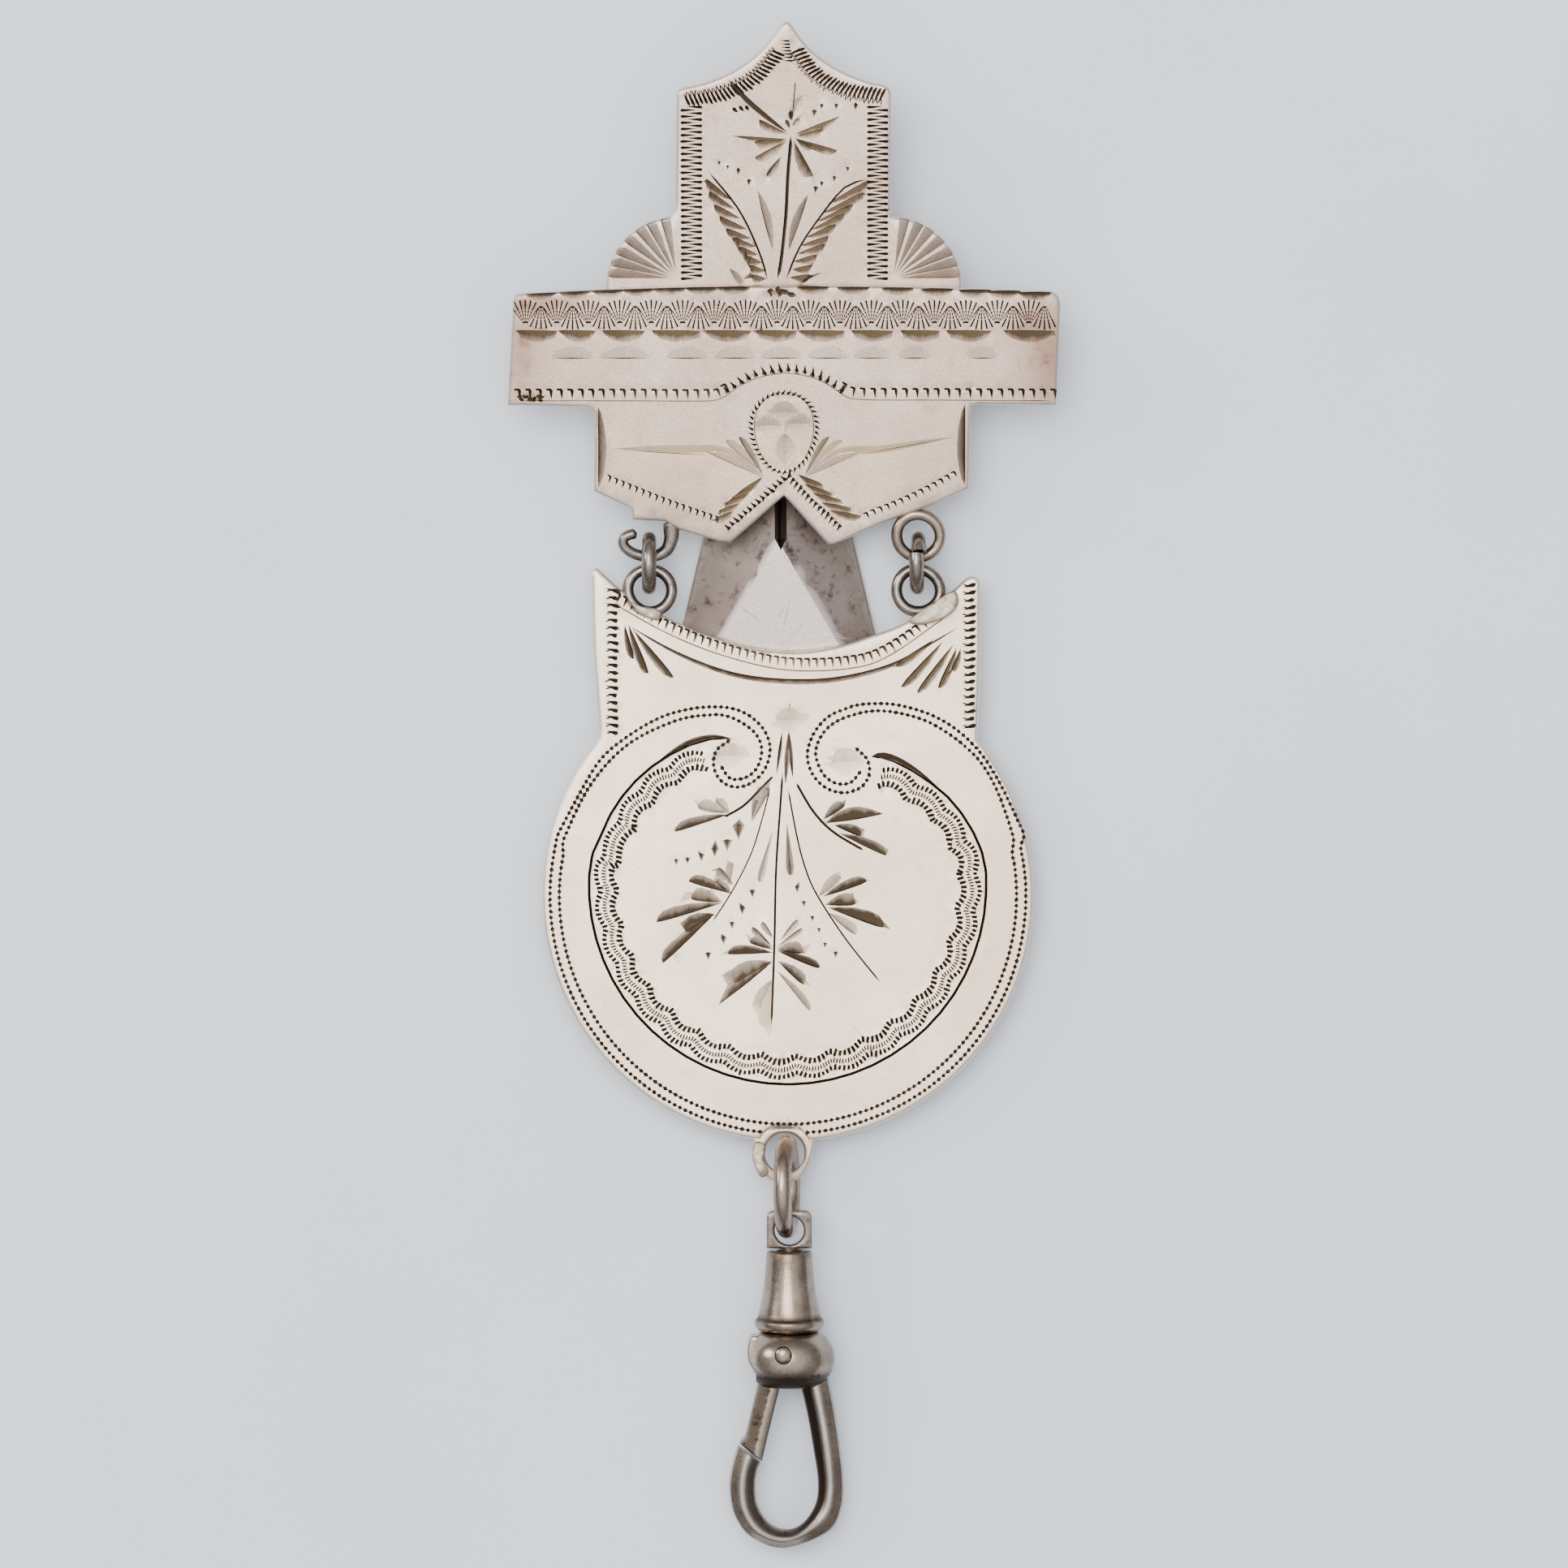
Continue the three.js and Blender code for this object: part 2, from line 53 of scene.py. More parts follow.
# the connector's middle ties the drawing's millimetres to the frame
connectorLow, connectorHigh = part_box("connector_link")
drawingShift = np.array([
    (connectorLow.x + connectorHigh.x) * 500 - ring["connectorPlace"][0],
    (connectorLow.y + connectorHigh.y) * 500 - ring["connectorPlace"][1],
    0.0,
])
# plaque and swivel clip are drawn flat, then leaned back by degrees about a foot on the drawing
plaqueFoot, plaqueLean = (0.0, 20.0, 3.4), 8.0
clipFoot, clipLean = (0.4, -43.2, 3.4), 5.0


def bezier(start, handle, end, count=12):
    # quadratic curve from start to end, leaving out the last point
    t = np.linspace(0, 1, count, endpoint=False)[:, None]
    start, handle, end = np.array(start), np.array(handle), np.array(end)
    return (1 - t) ** 2 * start + 2 * t * (1 - t) * handle + t ** 2 * end


def arc(centre, radius, fromDegrees, toDegrees, count=24):
    # centre + radius * (cos, sin) at even angles, both ends kept
    angle = np.radians(np.linspace(fromDegrees, toDegrees, count))
    return np.stack([centre[0] + radius * np.cos(angle), centre[1] + radius * np.sin(angle)], 1)


def curve(points, count, closed=False):
    # smooth line through the points (Catmull-Rom), its count points evenly spaced by length
    p = np.asarray(points, float)
    if closed:
        p = np.concatenate([p[-1:], p, p[:2]])
    else:
        p = np.concatenate([2 * p[:1] - p[1:2], p, 2 * p[-1:] - p[-2:-1]])
    spans = len(p) - 3
    t = np.linspace(0, spans, 16 * spans + 1)
    k = np.minimum(t.astype(int), spans - 1)
    u = (t - k)[:, None]
    a, b, c, d = p[k], p[k + 1], p[k + 2], p[k + 3]
    line = 0.5 * (2 * b + (c - a) * u + (2 * a - 5 * b + 4 * c - d) * u ** 2
                  + (3 * b - a - 3 * c + d) * u ** 3)
    length = np.concatenate([[0], np.cumsum(np.linalg.norm(np.diff(line, axis=0), axis=1))])
    at = np.linspace(0, length[-1], count, endpoint=not closed)
    return np.stack([np.interp(at, length, column) for column in line.T], 1)


def subdivided(loop, step):
    # the closed loop with no side longer than step, its corners kept
    after = np.roll(loop, -1, axis=0)
    parts = np.maximum(1, np.ceil(np.linalg.norm(after - loop, axis=1) / step).astype(int))
    start = np.repeat(np.cumsum(parts) - parts, parts)
    share = (np.arange(parts.sum()) - start) / np.repeat(parts, parts)
    share = share[:, None]
    return np.repeat(loop, parts, axis=0) * (1 - share) + np.repeat(after, parts, axis=0) * share


def sidesOf(path, closed=False):
    # unit direction and left-hand normal at each point of a flat path
    if closed:
        along = np.roll(path, -1, axis=0) - np.roll(path, 1, axis=0)
    else:
        along = np.gradient(path, axis=0)
    along = along / np.maximum(np.linalg.norm(along, axis=1, keepdims=True), 1e-9)
    return along, np.stack([-along[:, 1], along[:, 0]], 1)


def gridTriangles(rows, columns, closeRows=False, closeColumns=True):
    # two triangles for each cell of a grid of points, wrapped round where it closes
    i = np.arange(rows if closeRows else rows - 1)[:, None]
    j = np.arange(columns if closeColumns else columns - 1)[None, :]
    below, right = (i + 1) % rows, (j + 1) % columns
    a, b, c, d = i * columns + j, i * columns + right, below * columns + right, below * columns + j
    return np.concatenate([np.stack([a, b, c], -1).reshape(-1, 3), np.stack([a, c, d], -1).reshape(-1, 3)])


def welded(points, triangles):
    # coincident points become one, and triangles left without area go
    key = np.round(points * 2000).astype(np.int64)
    _, first, back = np.unique(key, axis=0, return_index=True, return_inverse=True)
    t = back.reshape(-1)[triangles]
    area = (t[:, 0] != t[:, 1]) & (t[:, 1] != t[:, 2]) & (t[:, 2] != t[:, 0])
    return points[first], t[area]


def joined(*solids):
    # several closed surfaces in one mesh
    starts = np.cumsum([0] + [len(points) for points, _ in solids])
    return (np.concatenate([points for points, _ in solids]),
            np.concatenate([triangles + start for (_, triangles), start in zip(solids, starts)]))


def turned(profile, steps=64):
    # (radius, y) profile carried round the Y axis
    angle = np.linspace(0, 2 * math.pi, steps, endpoint=False)
    r, y = np.asarray(profile, float).T
    points = np.stack([r[:, None] * np.cos(angle), np.repeat(y[:, None], steps, 1),
                       r[:, None] * np.sin(angle)], -1)
    return welded(points.reshape(-1, 3), gridTriangles(len(r), steps))


def swept(path, plane, halfWidth, halfHeight, sides=20, power=2.0, closed=False):
    # superellipse section carried along a path that lies in the plane with the given normal:
    # path + across * width * cos^(2/power) + normal * height * sin^(2/power)
    plane = np.array(plane, float)
    if closed:
        along = np.roll(path, -1, axis=0) - np.roll(path, 1, axis=0)
    else:
        along = np.gradient(path, axis=0)
    across = np.cross(plane, along)
    across /= np.linalg.norm(across, axis=1, keepdims=True)
    angle = np.linspace(0, 2 * math.pi, sides, endpoint=False)
    c = np.sign(np.cos(angle)) * np.abs(np.cos(angle)) ** (2 / power)
    s = np.sign(np.sin(angle)) * np.abs(np.sin(angle)) ** (2 / power)
    w = np.broadcast_to(halfWidth, len(path))[:, None] * c
    h = np.broadcast_to(halfHeight, len(path))[:, None] * s
    points = (path[:, None] + across[:, None] * w[..., None] + plane * h[..., None]).reshape(-1, 3)
    triangles = gridTriangles(len(path), sides, closed)
    if closed:
        return points, triangles
    j = np.arange(sides)
    after, last, n = (j + 1) % sides, (len(path) - 1) * sides, len(points)
    caps = [np.stack([np.full(sides, n), after, j], 1),
            np.stack([np.full(sides, n + 1), last + j, last + after], 1)]
    return np.concatenate([points, path[:1], path[-1:]]), np.concatenate([triangles, *caps])


def roundEnds(path, half, radius):
    # half width that closes in a quarter circle over the last stretch at each end
    length = np.concatenate([[0], np.cumsum(np.linalg.norm(np.diff(path, axis=0), axis=1))])
    near = np.minimum(np.minimum(length, length[-1] - length) / radius, 1)
    return half * np.sqrt(np.maximum(1 - (1 - near) ** 2, 0.0004))


def torus(centre, axis, radius, wire, wobble=0.0):
    # wire ring round an axis, its radius varying a little as bent wire does:
    # radius * (1 + wobble * sin 2t + wobble / 2 * sin 3t)
    axis = np.array(axis, float) / np.linalg.norm(axis)
    first = np.cross(axis, [0.3, 0.9, 0.31] if abs(axis[1]) < 0.8 else [1, 0, 0])
    first /= np.linalg.norm(first)
    second = np.cross(axis, first)
    t = np.linspace(0, 2 * math.pi, 72, endpoint=False)
    r = radius * (1 + wobble * np.sin(2 * t + radius * 5) + 0.5 * wobble * np.sin(3 * t + centre[0]))
    path = np.array(centre) + (r * np.cos(t))[:, None] * first + (r * np.sin(t))[:, None] * second
    return swept(path, axis, wire, wire, closed=True)


def leaned(points, foot, degrees):
    # turned about X at the foot, then set on it
    c, s = math.cos(math.radians(degrees)), math.sin(math.radians(degrees))
    x, y, z = points.T
    return np.stack([foot[0] + x, foot[1] + y * c - z * s, foot[2] + y * s + z * c], 1)


def sharpEdges(mesh):
    # which edges the angle limit has made sharp
    marked = np.zeros(len(mesh.edges), bool)
    if "sharp_edge" in mesh.attributes:
        mesh.attributes["sharp_edge"].data.foreach_get("value", marked)
    return marked


def addPiece(name, solid, body, nodes, material, flat=None, sharp=None, marks=None):
    # puts a solid into the scene in place of CAD nodes, its faces pointing outwards. Triangles in
    # flat are faceted, edges past the sharp angle are crisp, and marks become attributes
    points, triangles = solid
    corner = points[triangles]
    if np.einsum("ij,ij->i", corner[:, 0], np.cross(corner[:, 1], corner[:, 2])).sum() < 0:
        triangles = triangles[:, ::-1]
    mesh = bpy.data.meshes.new(name)
    mesh.from_pydata(((points + drawingShift) / 1000).tolist(), [], triangles.tolist())
    smooth = np.ones(len(triangles), bool) if flat is None else ~flat
    mesh.polygons.foreach_set("use_smooth", smooth)
    if sharp is not None:
        mesh.set_sharp_from_angle(angle=math.radians(sharp))
    if flat is not None:
        # crisp lips: every edge between a cut's facet and the plain surface
        edge = np.empty(len(mesh.loops), np.int32)
        mesh.loops.foreach_get("edge_index", edge)
        facets = np.bincount(edge, np.repeat(flat, 3), len(mesh.edges))
        lips = (facets > 0) & (facets < np.bincount(edge, minlength=len(mesh.edges)))
        lips |= np.zeros(len(lips), bool) if sharp is None else sharpEdges(mesh)
        crisp = mesh.attributes.get("sharp_edge") or mesh.attributes.new("sharp_edge", "BOOLEAN", "EDGE")
        crisp.data.foreach_set("value", lips)
    for key, values in (marks or {}).items():
        domain = "POINT" if len(values) == len(points) else "FACE"
        mesh.attributes.new(key, "FLOAT", domain).data.foreach_set("value", values.astype(np.float32))
    mesh.materials.append(material)
    piece = bpy.data.objects.new(name, mesh)
    scene.collection.objects.link(piece)
    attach(piece, body)
    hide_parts(*nodes)
    return piece


def insideLoop(points, loop):
    # even-odd rule: a ray towards +X crosses the loop an odd number of times
    inside = np.zeros(len(points), bool)
    a, b = loop, np.roll(loop, -1, axis=0)
    for part in np.array_split(np.arange(len(points)), max(1, len(points) // 4000)):
        x, y = points[part, 0, None], points[part, 1, None]
        spans = (a[:, 1] > y) != (b[:, 1] > y)
        rise = np.where(b[:, 1] == a[:, 1], 1.0, b[:, 1] - a[:, 1])
        crossing = a[:, 0] + (y - a[:, 1]) * (b[:, 0] - a[:, 0]) / rise
        inside[part] = (np.sum(spans & (x < crossing), axis=1) % 2) == 1
    return inside


def distanceTo(points, loop):
    # shortest way to a closed loop's sides
    best = np.empty(len(points))
    a, ab = loop, np.roll(loop, -1, axis=0) - loop
    square = np.maximum(np.sum(ab ** 2, axis=1), 1e-12)
    for part in np.array_split(np.arange(len(points)), max(1, len(points) // 3000)):
        away = points[part, None] - a
        t = np.clip(np.sum(away * ab, axis=2) / square, 0, 1)
        best[part] = np.linalg.norm(away - t[..., None] * ab, axis=2).min(axis=1)
    return best


# how a stroke's width goes along its length: (way along, share of full width)
cutShapes = {
    "diamond": [(0, 0), (0.5, 1), (1, 0)],
    "block": [(0, 0), (0.12, 1), (0.88, 1), (1, 0)],
    "tooth": [(0, 0), (0.1, 1), (1, 0)],
    "drop": [(0, 0), (0.35, 0.45), (0.7, 0.9), (0.86, 1), (0.96, 0.7), (1, 0)],
    "leaf": [(0, 0), (0.12, 0.42), (0.28, 0.8), (0.45, 1), (0.62, 0.92), (0.8, 0.58), (0.92, 0.25), (1, 0)],
    "petal": [(0, 0), (0.2, 0.45), (0.45, 0.85), (0.7, 1), (0.86, 0.9), (0.96, 0.5), (1, 0)],
    "moon": [(0, 0), (0.08, 0.38), (0.2, 0.7), (0.35, 0.92), (0.5, 1), (0.65, 0.95), (0.8, 0.76),
             (0.92, 0.42), (1, 0)],
    "wedge": [(0, 0), (0.06, 0.8), (0.14, 1), (0.4, 0.72), (0.7, 0.36), (1, 0)],
    "disc": [(0.5 - 0.5 * math.cos(a), math.sin(a)) for a in np.linspace(0, math.pi, 17)],
    "line": [(0, 0), (0.02, 1), (0.98, 1), (1, 0)],
}


def cut(points, width, depth=0.1, shape="leaf", dark=1.0, count=None, lean=0.0):
    # one stroke of the graver: a V whose width and depth swell and pinch out along its path.
    # lean moves the valley to one side, so one facet is steep and the other broad
    at, shares = np.array(cutShapes[shape], float).T
    if count:
        at, shares = np.linspace(0, 1, count), np.interp(np.linspace(0, 1, count), at, shares)
    fine = curve(points, 49) if len(points) > 2 else np.array(points, float)
    path = np.stack([np.interp(at, np.linspace(0, 1, len(fine)), column) for column in fine.T], 1)
    return path, width / 2 * shares, depth * shares ** 0.7, dark, lean


def cutDepth(points, cuts):
    # deepest V over each point: depth * (1 - way from the valley / half width),
    # with the share of that depth and the cut's darkness
    order = np.argsort(points[:, 0])
    sortedX = points[order, 0]
    depth, shares, dark = np.zeros((3, len(points)))
    for path, half, deep, tone, lean in cuts:
        reach = half.max() * (1 + abs(lean))
        low, high = np.searchsorted(sortedX, [path[:, 0].min() - reach, path[:, 0].max() + reach])
        pick = order[low:high]
        y = points[pick, 1]
        pick = pick[(y > path[:, 1].min() - reach) & (y < path[:, 1].max() + reach)]
        if not len(pick):
            continue
        a, ab = path[:-1], np.diff(path, axis=0)
        away = points[pick, None] - a
        t = np.clip(np.sum(away * ab, axis=2) / np.maximum(np.sum(ab ** 2, axis=1), 1e-12), 0, 1)
        side = away - t[..., None] * ab
        far = np.linalg.norm(side, axis=2)
        wide = np.maximum(half[:-1] + t * np.diff(half), 1e-6)
        if lean:
            left = np.sign(ab[:, 0] * side[..., 1] - ab[:, 1] * side[..., 0])
            wide = wide * (1 + left * lean)
        share = np.maximum(1 - far / wide, 0) * (wide > 1e-3)
        here = (share * (deep[:-1] + t * np.diff(deep))).max(axis=1)
        depth[pick] = np.maximum(depth[pick], here)
        shares[pick] = np.maximum(shares[pick], share.max(axis=1))
        dark[pick] = np.maximum(dark[pick], tone * (share.max(axis=1) > 1e-4))
    return depth, shares, dark


def engravedPlate(outline, top, bottom, cuts=(), bites=(), rim=0.25, fill=0.9, step=0.6, creases=()):
    # the flat sheet inside an outline: z = top(x, y) less a quarter-round of radius rim at the
    # edge, less the cuts; its back is bottom(x, y) with the same easing. Returns the solid, the
    # triangles that are facets of cuts, and how cut and how near the edge each point is
    outline = subdivided(outline, step)
    holes = [arc(centre, radius, 0, 360, 49)[:-1] for centre, radius in bites]
    _, normal = sidesOf(outline, closed=True)
    turn = np.sum(outline[:, 0] * np.roll(outline[:, 1], -1) - np.roll(outline[:, 0], -1) * outline[:, 1])
    normal = normal * np.sign(turn)
    rings = [outline + normal * rim * share for share in (0.12, 0.4, 1.0)]
    rings += [arc(centre, radius + rim * share, 0, 360, 49)[:-1] for centre,
              radius in bites for share in (0.12, 0.4, 1.0)]
    low, high = outline.min(axis=0), outline.max(axis=0)
    across, up = np.meshgrid(np.arange(low[0], high[0], fill), np.arange(low[1], high[1], fill * 0.87))
    across = across + (np.arange(len(up)) % 2)[:, None] * fill / 2
    spread = np.stack([across.ravel(), up.ravel()], 1)
    spread = spread[insideLoop(spread, outline)]
    spread = spread[distanceTo(spread, outline) > rim * 1.4]

    # lines that the triangles' edges have to follow: loops, then each cut's valley and two lips
    lines = []
    for path, half, _, _, lean in cuts:
        _, side = sidesOf(path)
        lines += [path, path + side * (half * (1 + lean))[:, None],
                  path - side * (half * (1 - lean))[:, None]]
    lines += creases
    verts, edges, count = [], [], 0
    for k, line in enumerate([outline, *holes, *rings, *lines]):
        index = np.arange(len(line)) + count
        follow = np.stack([index, np.roll(index, -1)], 1)
        verts.append(line)
        edges.append(follow if k < 1 + len(holes) + len(rings) else follow[:-1])
        count += len(line)
    verts.append(spread)

    def kept(flatPoints, triangles):
        middle = flatPoints[triangles].mean(axis=1)
        keep = insideLoop(middle, outline)
        for centre, radius in bites:
            keep &= np.linalg.norm(middle - np.array(centre), axis=1) > radius * 0.999
        return triangles[keep]

    def edgeDistance(flatPoints):
        far = distanceTo(flatPoints, outline)
        for centre, radius in bites:
            far = np.minimum(far, np.abs(np.linalg.norm(flatPoints - np.array(centre), axis=1) - radius))
        return far

    def easing(far):
        near = 1 - np.minimum(far / rim, 1)
        return rim * (1 - np.sqrt(np.maximum(1 - near ** 2, 0)))

    made = delaunay_2d_cdt(np.concatenate(verts).tolist(), np.concatenate(edges).tolist(), [], 0, 1e-5, False)
    face = np.array([v[:] for v in made[0]])
    triangles = kept(face, np.array(made[2]))
    used, triangles = np.unique(triangles, return_inverse=True)
    face, triangles = face[used], triangles.reshape(-1, 3)
    far = edgeDistance(face)
    depth, shares, _ = cutDepth(face, cuts)
    _, inCut, tone = cutDepth(face[triangles].mean(axis=1), cuts)
    x, y = face.T
    topPoints = np.stack([x, y, top(x, y) - easing(far) - depth], 1)

    # the edges that only one triangle has are the plate's own edge
    sides = np.concatenate([triangles[:, [0, 1]], triangles[:, [1, 2]], triangles[:, [2, 0]]])
    code = np.sort(sides, axis=1) @ np.array([len(face), 1])
    _, first, times = np.unique(code, return_index=True, return_counts=True)
    border = sides[first[times == 1]]
    rimPoints, rimSides = np.unique(border, return_inverse=True)
    rimSides = rimSides.reshape(-1, 2)
    inner = np.concatenate([*rings, spread[::3]])
    inner = inner[insideLoop(inner, outline)]
    inner = inner[edgeDistance(inner) > rim * 0.1]
    for centre, radius in bites:
        inner = inner[np.linalg.norm(inner - np.array(centre), axis=1) > radius]
    backFlat = np.concatenate([face[rimPoints], inner])
    made = delaunay_2d_cdt(backFlat.tolist(), rimSides.tolist(), [], 0, 1e-6, False)
    back = np.array([v[:] for v in made[0]])
    backTriangles = kept(back, np.array(made[2]))
    bx, by = back.T
    backPoints = np.stack([bx, by, bottom(bx, by) + easing(edgeDistance(back))], 1)

    n = len(face)
    a, b = border.T
    c, d = rimSides[:, 1] + n, rimSides[:, 0] + n
    wall = np.concatenate([np.stack([b, a, d], 1), np.stack([b, d, c], 1)])
    allTriangles = np.concatenate([triangles, wall, backTriangles[:, ::-1] + n])
    leastShare = 0.04
    flat = np.zeros(len(allTriangles), bool)
    flat[:len(triangles)] = inCut > leastShare
    facet = np.zeros(len(allTriangles))
    facet[:len(triangles)] = tone * (inCut > leastShare)
    marks = {
        "cut": np.concatenate([shares, np.zeros(len(back))]),
        "facet": facet,
        "rim": np.concatenate([1 - np.minimum(far / (rim * 1.3), 1), np.ones(len(back)) * 0.3]),
    }
    return (np.concatenate([topPoints, backPoints]), allTriangles), flat, marks


def acrossRow(points, pitch, length, width, depth=0.09, slant=0.0, shape="block", dark=1.0):
    # a row of short strokes set across a line, at an even pitch, their lengths a little uneven
    rough = curve(points, 200)
    run = np.linalg.norm(np.diff(rough, axis=0), axis=1).sum()
    path = curve(points, max(2, int(round(run / pitch)) + 1))
    along, side = sidesOf(path)
    turn = math.radians(slant)
    way = side * math.cos(turn) + along * math.sin(turn)
    jitter = 1 + 0.10 * dice.standard_normal(len(path))
    return [cut([p - w * length / 2 * k, p + w * length / 2 * k], width, depth, shape, dark)
            for p, w, k in zip(path, way, jitter)]


def alongRow(points, pitch, length, width, depth, dark):
    # a row of diamonds set end to end along a line
    return acrossRow(points, pitch, length, width, depth, 90.0, "diamond", dark)


def strokeRow(ends, width, tone, lean=0.0, depth=0.1, shape="petal"):
    # straight strokes (base, tip), leaned to mirror each other left and right of the middle
    return [cut([base, tip], width, depth, shape, tone, lean=lean if tip[0] > 0 else -lean)
            for base, tip in ends]


def scratches(number, x, y, length, width, depth, tone, heading=None):
    # thin scratches dropped at random between the limits of x, y and length
    made = []
    for _ in range(number):
        a = np.array([dice.uniform(*x), dice.uniform(*y)])
        turn = dice.normal(*heading) if heading else dice.uniform(0, 2 * math.pi)
        b = a + dice.uniform(*length) * np.array([math.cos(turn), math.sin(turn)])
        made.append(cut([a, b], width, depth, "diamond", tone))
    return made


def smudge(number, x, y, stepX, stepY, width, depth):
    # a dark patch of short crowded nicks
    made = []
    for _ in range(number):
        a = np.array([dice.uniform(*x), dice.uniform(*y)])
        made.append(cut([a, a + [dice.uniform(*stepX), dice.uniform(*stepY)]], width, depth, "diamond", 2.0))
    return made


class Signal:
    # a shader socket; arithmetic on it adds Math nodes
    def __init__(self, paint, socket):
        self.paint, self.socket = paint, socket

    def maths(self, operation, other, swapped=False):
        pair = (other, self) if swapped else (self, other)
        return self.paint.node("Math", {"operation": operation}, {0: pair[0], 1: pair[1]})

    def __add__(self, other):
        return self.maths("ADD", other)

    def __sub__(self, other):
        return self.maths("SUBTRACT", other)

    def __rsub__(self, other):
        return self.maths("SUBTRACT", other, True)

    def __mul__(self, other):
        return self.maths("MULTIPLY", other)

    __radd__, __rmul__ = __add__, __mul__

    def step(self, low, high):
        # 0 below low, 1 above high, smooth between
        return self.paint.node("MapRange", {"interpolation_type": "SMOOTHSTEP"},
                               {0: self, 1: low, 2: high, 3: 0.0, 4: 1.0})


class Paint:
    # one metal finish; fixed values go straight onto the shader's own sockets
    def __init__(self, name, **fixed):
        self.material = bpy.data.materials.new(name)
        self.material.use_nodes = True
        self.tree = self.material.node_tree
        self.shader = self.tree.nodes["Principled BSDF"]
        for key, value in fixed.items():
            self.shader.inputs[key].default_value = value
        # millimetres on the piece
        self.place = self.node("VectorMath", {"operation": "SCALE"},
                               {0: self.node("TexCoord", out=3), "Scale": 1000.0})

    def node(self, kind, settings=None, sockets=None, out=0):
        # a node of a kind, its settings first, then the values or links of its sockets
        made = self.tree.nodes.new("ShaderNode" + kind)
        for key, value in (settings or {}).items():
            setattr(made, key, value)
        for key, value in (sockets or {}).items():
            if isinstance(value, Signal):
                self.tree.links.new(value.socket, made.inputs[key])
            else:
                made.inputs[key].default_value = value
        return Signal(self, made.outputs[out])

    def mark(self, name):
        # how strong a named mark is on the mesh, 0 where the piece has none
        return self.node("Attribute", {"attribute_name": name}, out=2)

    def noise(self, perMillimetre, detail=3.0, roughness=0.5, stretch=(1, 1, 1), turn=0.0, shift=0.0):
        # clouds on the piece's own millimetres, 0 to 1
        at = self.node("Mapping", {}, {
            0: self.place, 1: (shift, shift, shift), 2: (0, 0, math.radians(turn)), 3: stretch})
        return self.node("TexNoise", {}, {
            "Vector": at, "Scale": perMillimetre, "Detail": detail, "Roughness": roughness})

    def blend(self, share, a, b):
        return self.node("Mix", {"data_type": "RGBA", "clamp_factor": True}, {0: share, 6: a, 7: b}, out=2)

    def bump(self, height, distance):
        return self.node("Bump", {}, {"Height": height, "Distance": distance, "Strength": 1.0})

    def use(self, **signals):
        for key, value in signals.items():
            self.tree.links.new(value.socket, self.shader.inputs[key.replace("_", " ")])
        return self.material


def rgb(r, g, b):
    return (r, g, b, 1.0)


def silverPaint(name, look):
    # light and warm clouds of metal, browner where tarnish lies and where shade is painted on, golden where
    # it is gilt, with a painted highlight on rims and ridges; in a cut the patina and the painted shade of
    # its facets are facet * (0.75 + 0.6 * share of depth), broken up by clouds. the roughness follows a fine
    # grain, and cut facets are smoother
    paint = Paint(name, Metallic=1.0)
    cloud = paint.noise(look["cloudScale"], 4.0, 0.6).step(0.35, 0.68)
    spots = paint.noise(look["cloudScale"] * 5, 5.0, 0.65, shift=7.0).step(0.52, 0.75)
    grain = paint.noise(look["grainScale"], 3.0, 0.6)
    pits = paint.noise(look["grainScale"] * 0.45, 2.0, 0.5, shift=3.0)
    drag = paint.noise(1.3, 3.0, 0.6, stretch=(1.0, 0.35, 1.0), turn=35.0, shift=5.0)
    share, facet, rim, stainAndShade, gilt = (paint.mark(mark) for mark in ("cut", "facet", "rim", "stainAndShade", "gilt"))
    colour = paint.blend(cloud, look["light"], look["warm"])
    colour = paint.blend(spots * look["spots"], colour, look["tarnishAndShade"])
    colour = paint.blend((1 - grain.step(0.40, 0.62)) * look["speckle"], colour, look["tarnishAndShade"])
    colour = paint.blend(gilt, colour, look["gilt"])
    # the stain mark is real tarnish on some pieces and painted shade on others (blade, hook, gate, ball,
    # barrel)
    colour = paint.blend(stainAndShade * (spots * 0.5 + 0.6), colour, look["tarnishAndShade"])
    # painted highlight: the rim mark lightens edges, the blade's facet and the hook's ridge
    colour = paint.blend(rim * 0.5, colour, look["paintedRimHighlight"])
    # patina in the cuts, darkened further as painted shade on their facets
    colour = paint.blend(facet * (share * 0.6 + 0.75) * (drag * 0.6 + 0.75), colour, look["dark"])
    rough = grain * 0.22 + (look["roughness"] - 0.11) + drag * 0.06 + cloud * 0.05
    rough = rough + stainAndShade * 0.12 - rim * 0.08 - facet * 0.06
    height = grain * 0.5 + pits * 0.5 + drag * look["scratch"]
    return paint.use(Base_Color=colour, Roughness=rough, Normal=paint.bump(height, look["bumpHeight"] / 1000))


# the plaque's colours, darker than the pendant's, are painted shade for the plaque's lean away from the light
plaqueSilver = silverPaint("plaqueSilver", {
    "light": rgb(0.82, 0.665, 0.56), "warm": rgb(0.74, 0.57, 0.47), "tarnishAndShade": rgb(0.35, 0.20, 0.14),
    "paintedRimHighlight": rgb(0.93, 0.89, 0.85), "dark": rgb(0.060, 0.042, 0.026), "gilt": rgb(0.80, 0.60, 0.36),
    "cloudScale": 0.12, "spots": 0.30, "speckle": 0.34, "grainScale": 7.0, "roughness": 0.38,
    "scratch": 0.15, "bumpHeight": 0.012})
pendantSilver = silverPaint("pendantSilver", {
    "light": rgb(0.98, 0.825, 0.70), "warm": rgb(0.95, 0.77, 0.62), "tarnishAndShade": rgb(0.48, 0.30, 0.20),
    "paintedRimHighlight": rgb(0.98, 0.95, 0.92), "dark": rgb(0.062, 0.044, 0.028), "gilt": rgb(0.93, 0.75, 0.52),
    "cloudScale": 0.09, "spots": 0.12, "speckle": 0.26, "grainScale": 5.5, "roughness": 0.40,
    "scratch": 0.1, "bumpHeight": 0.012})
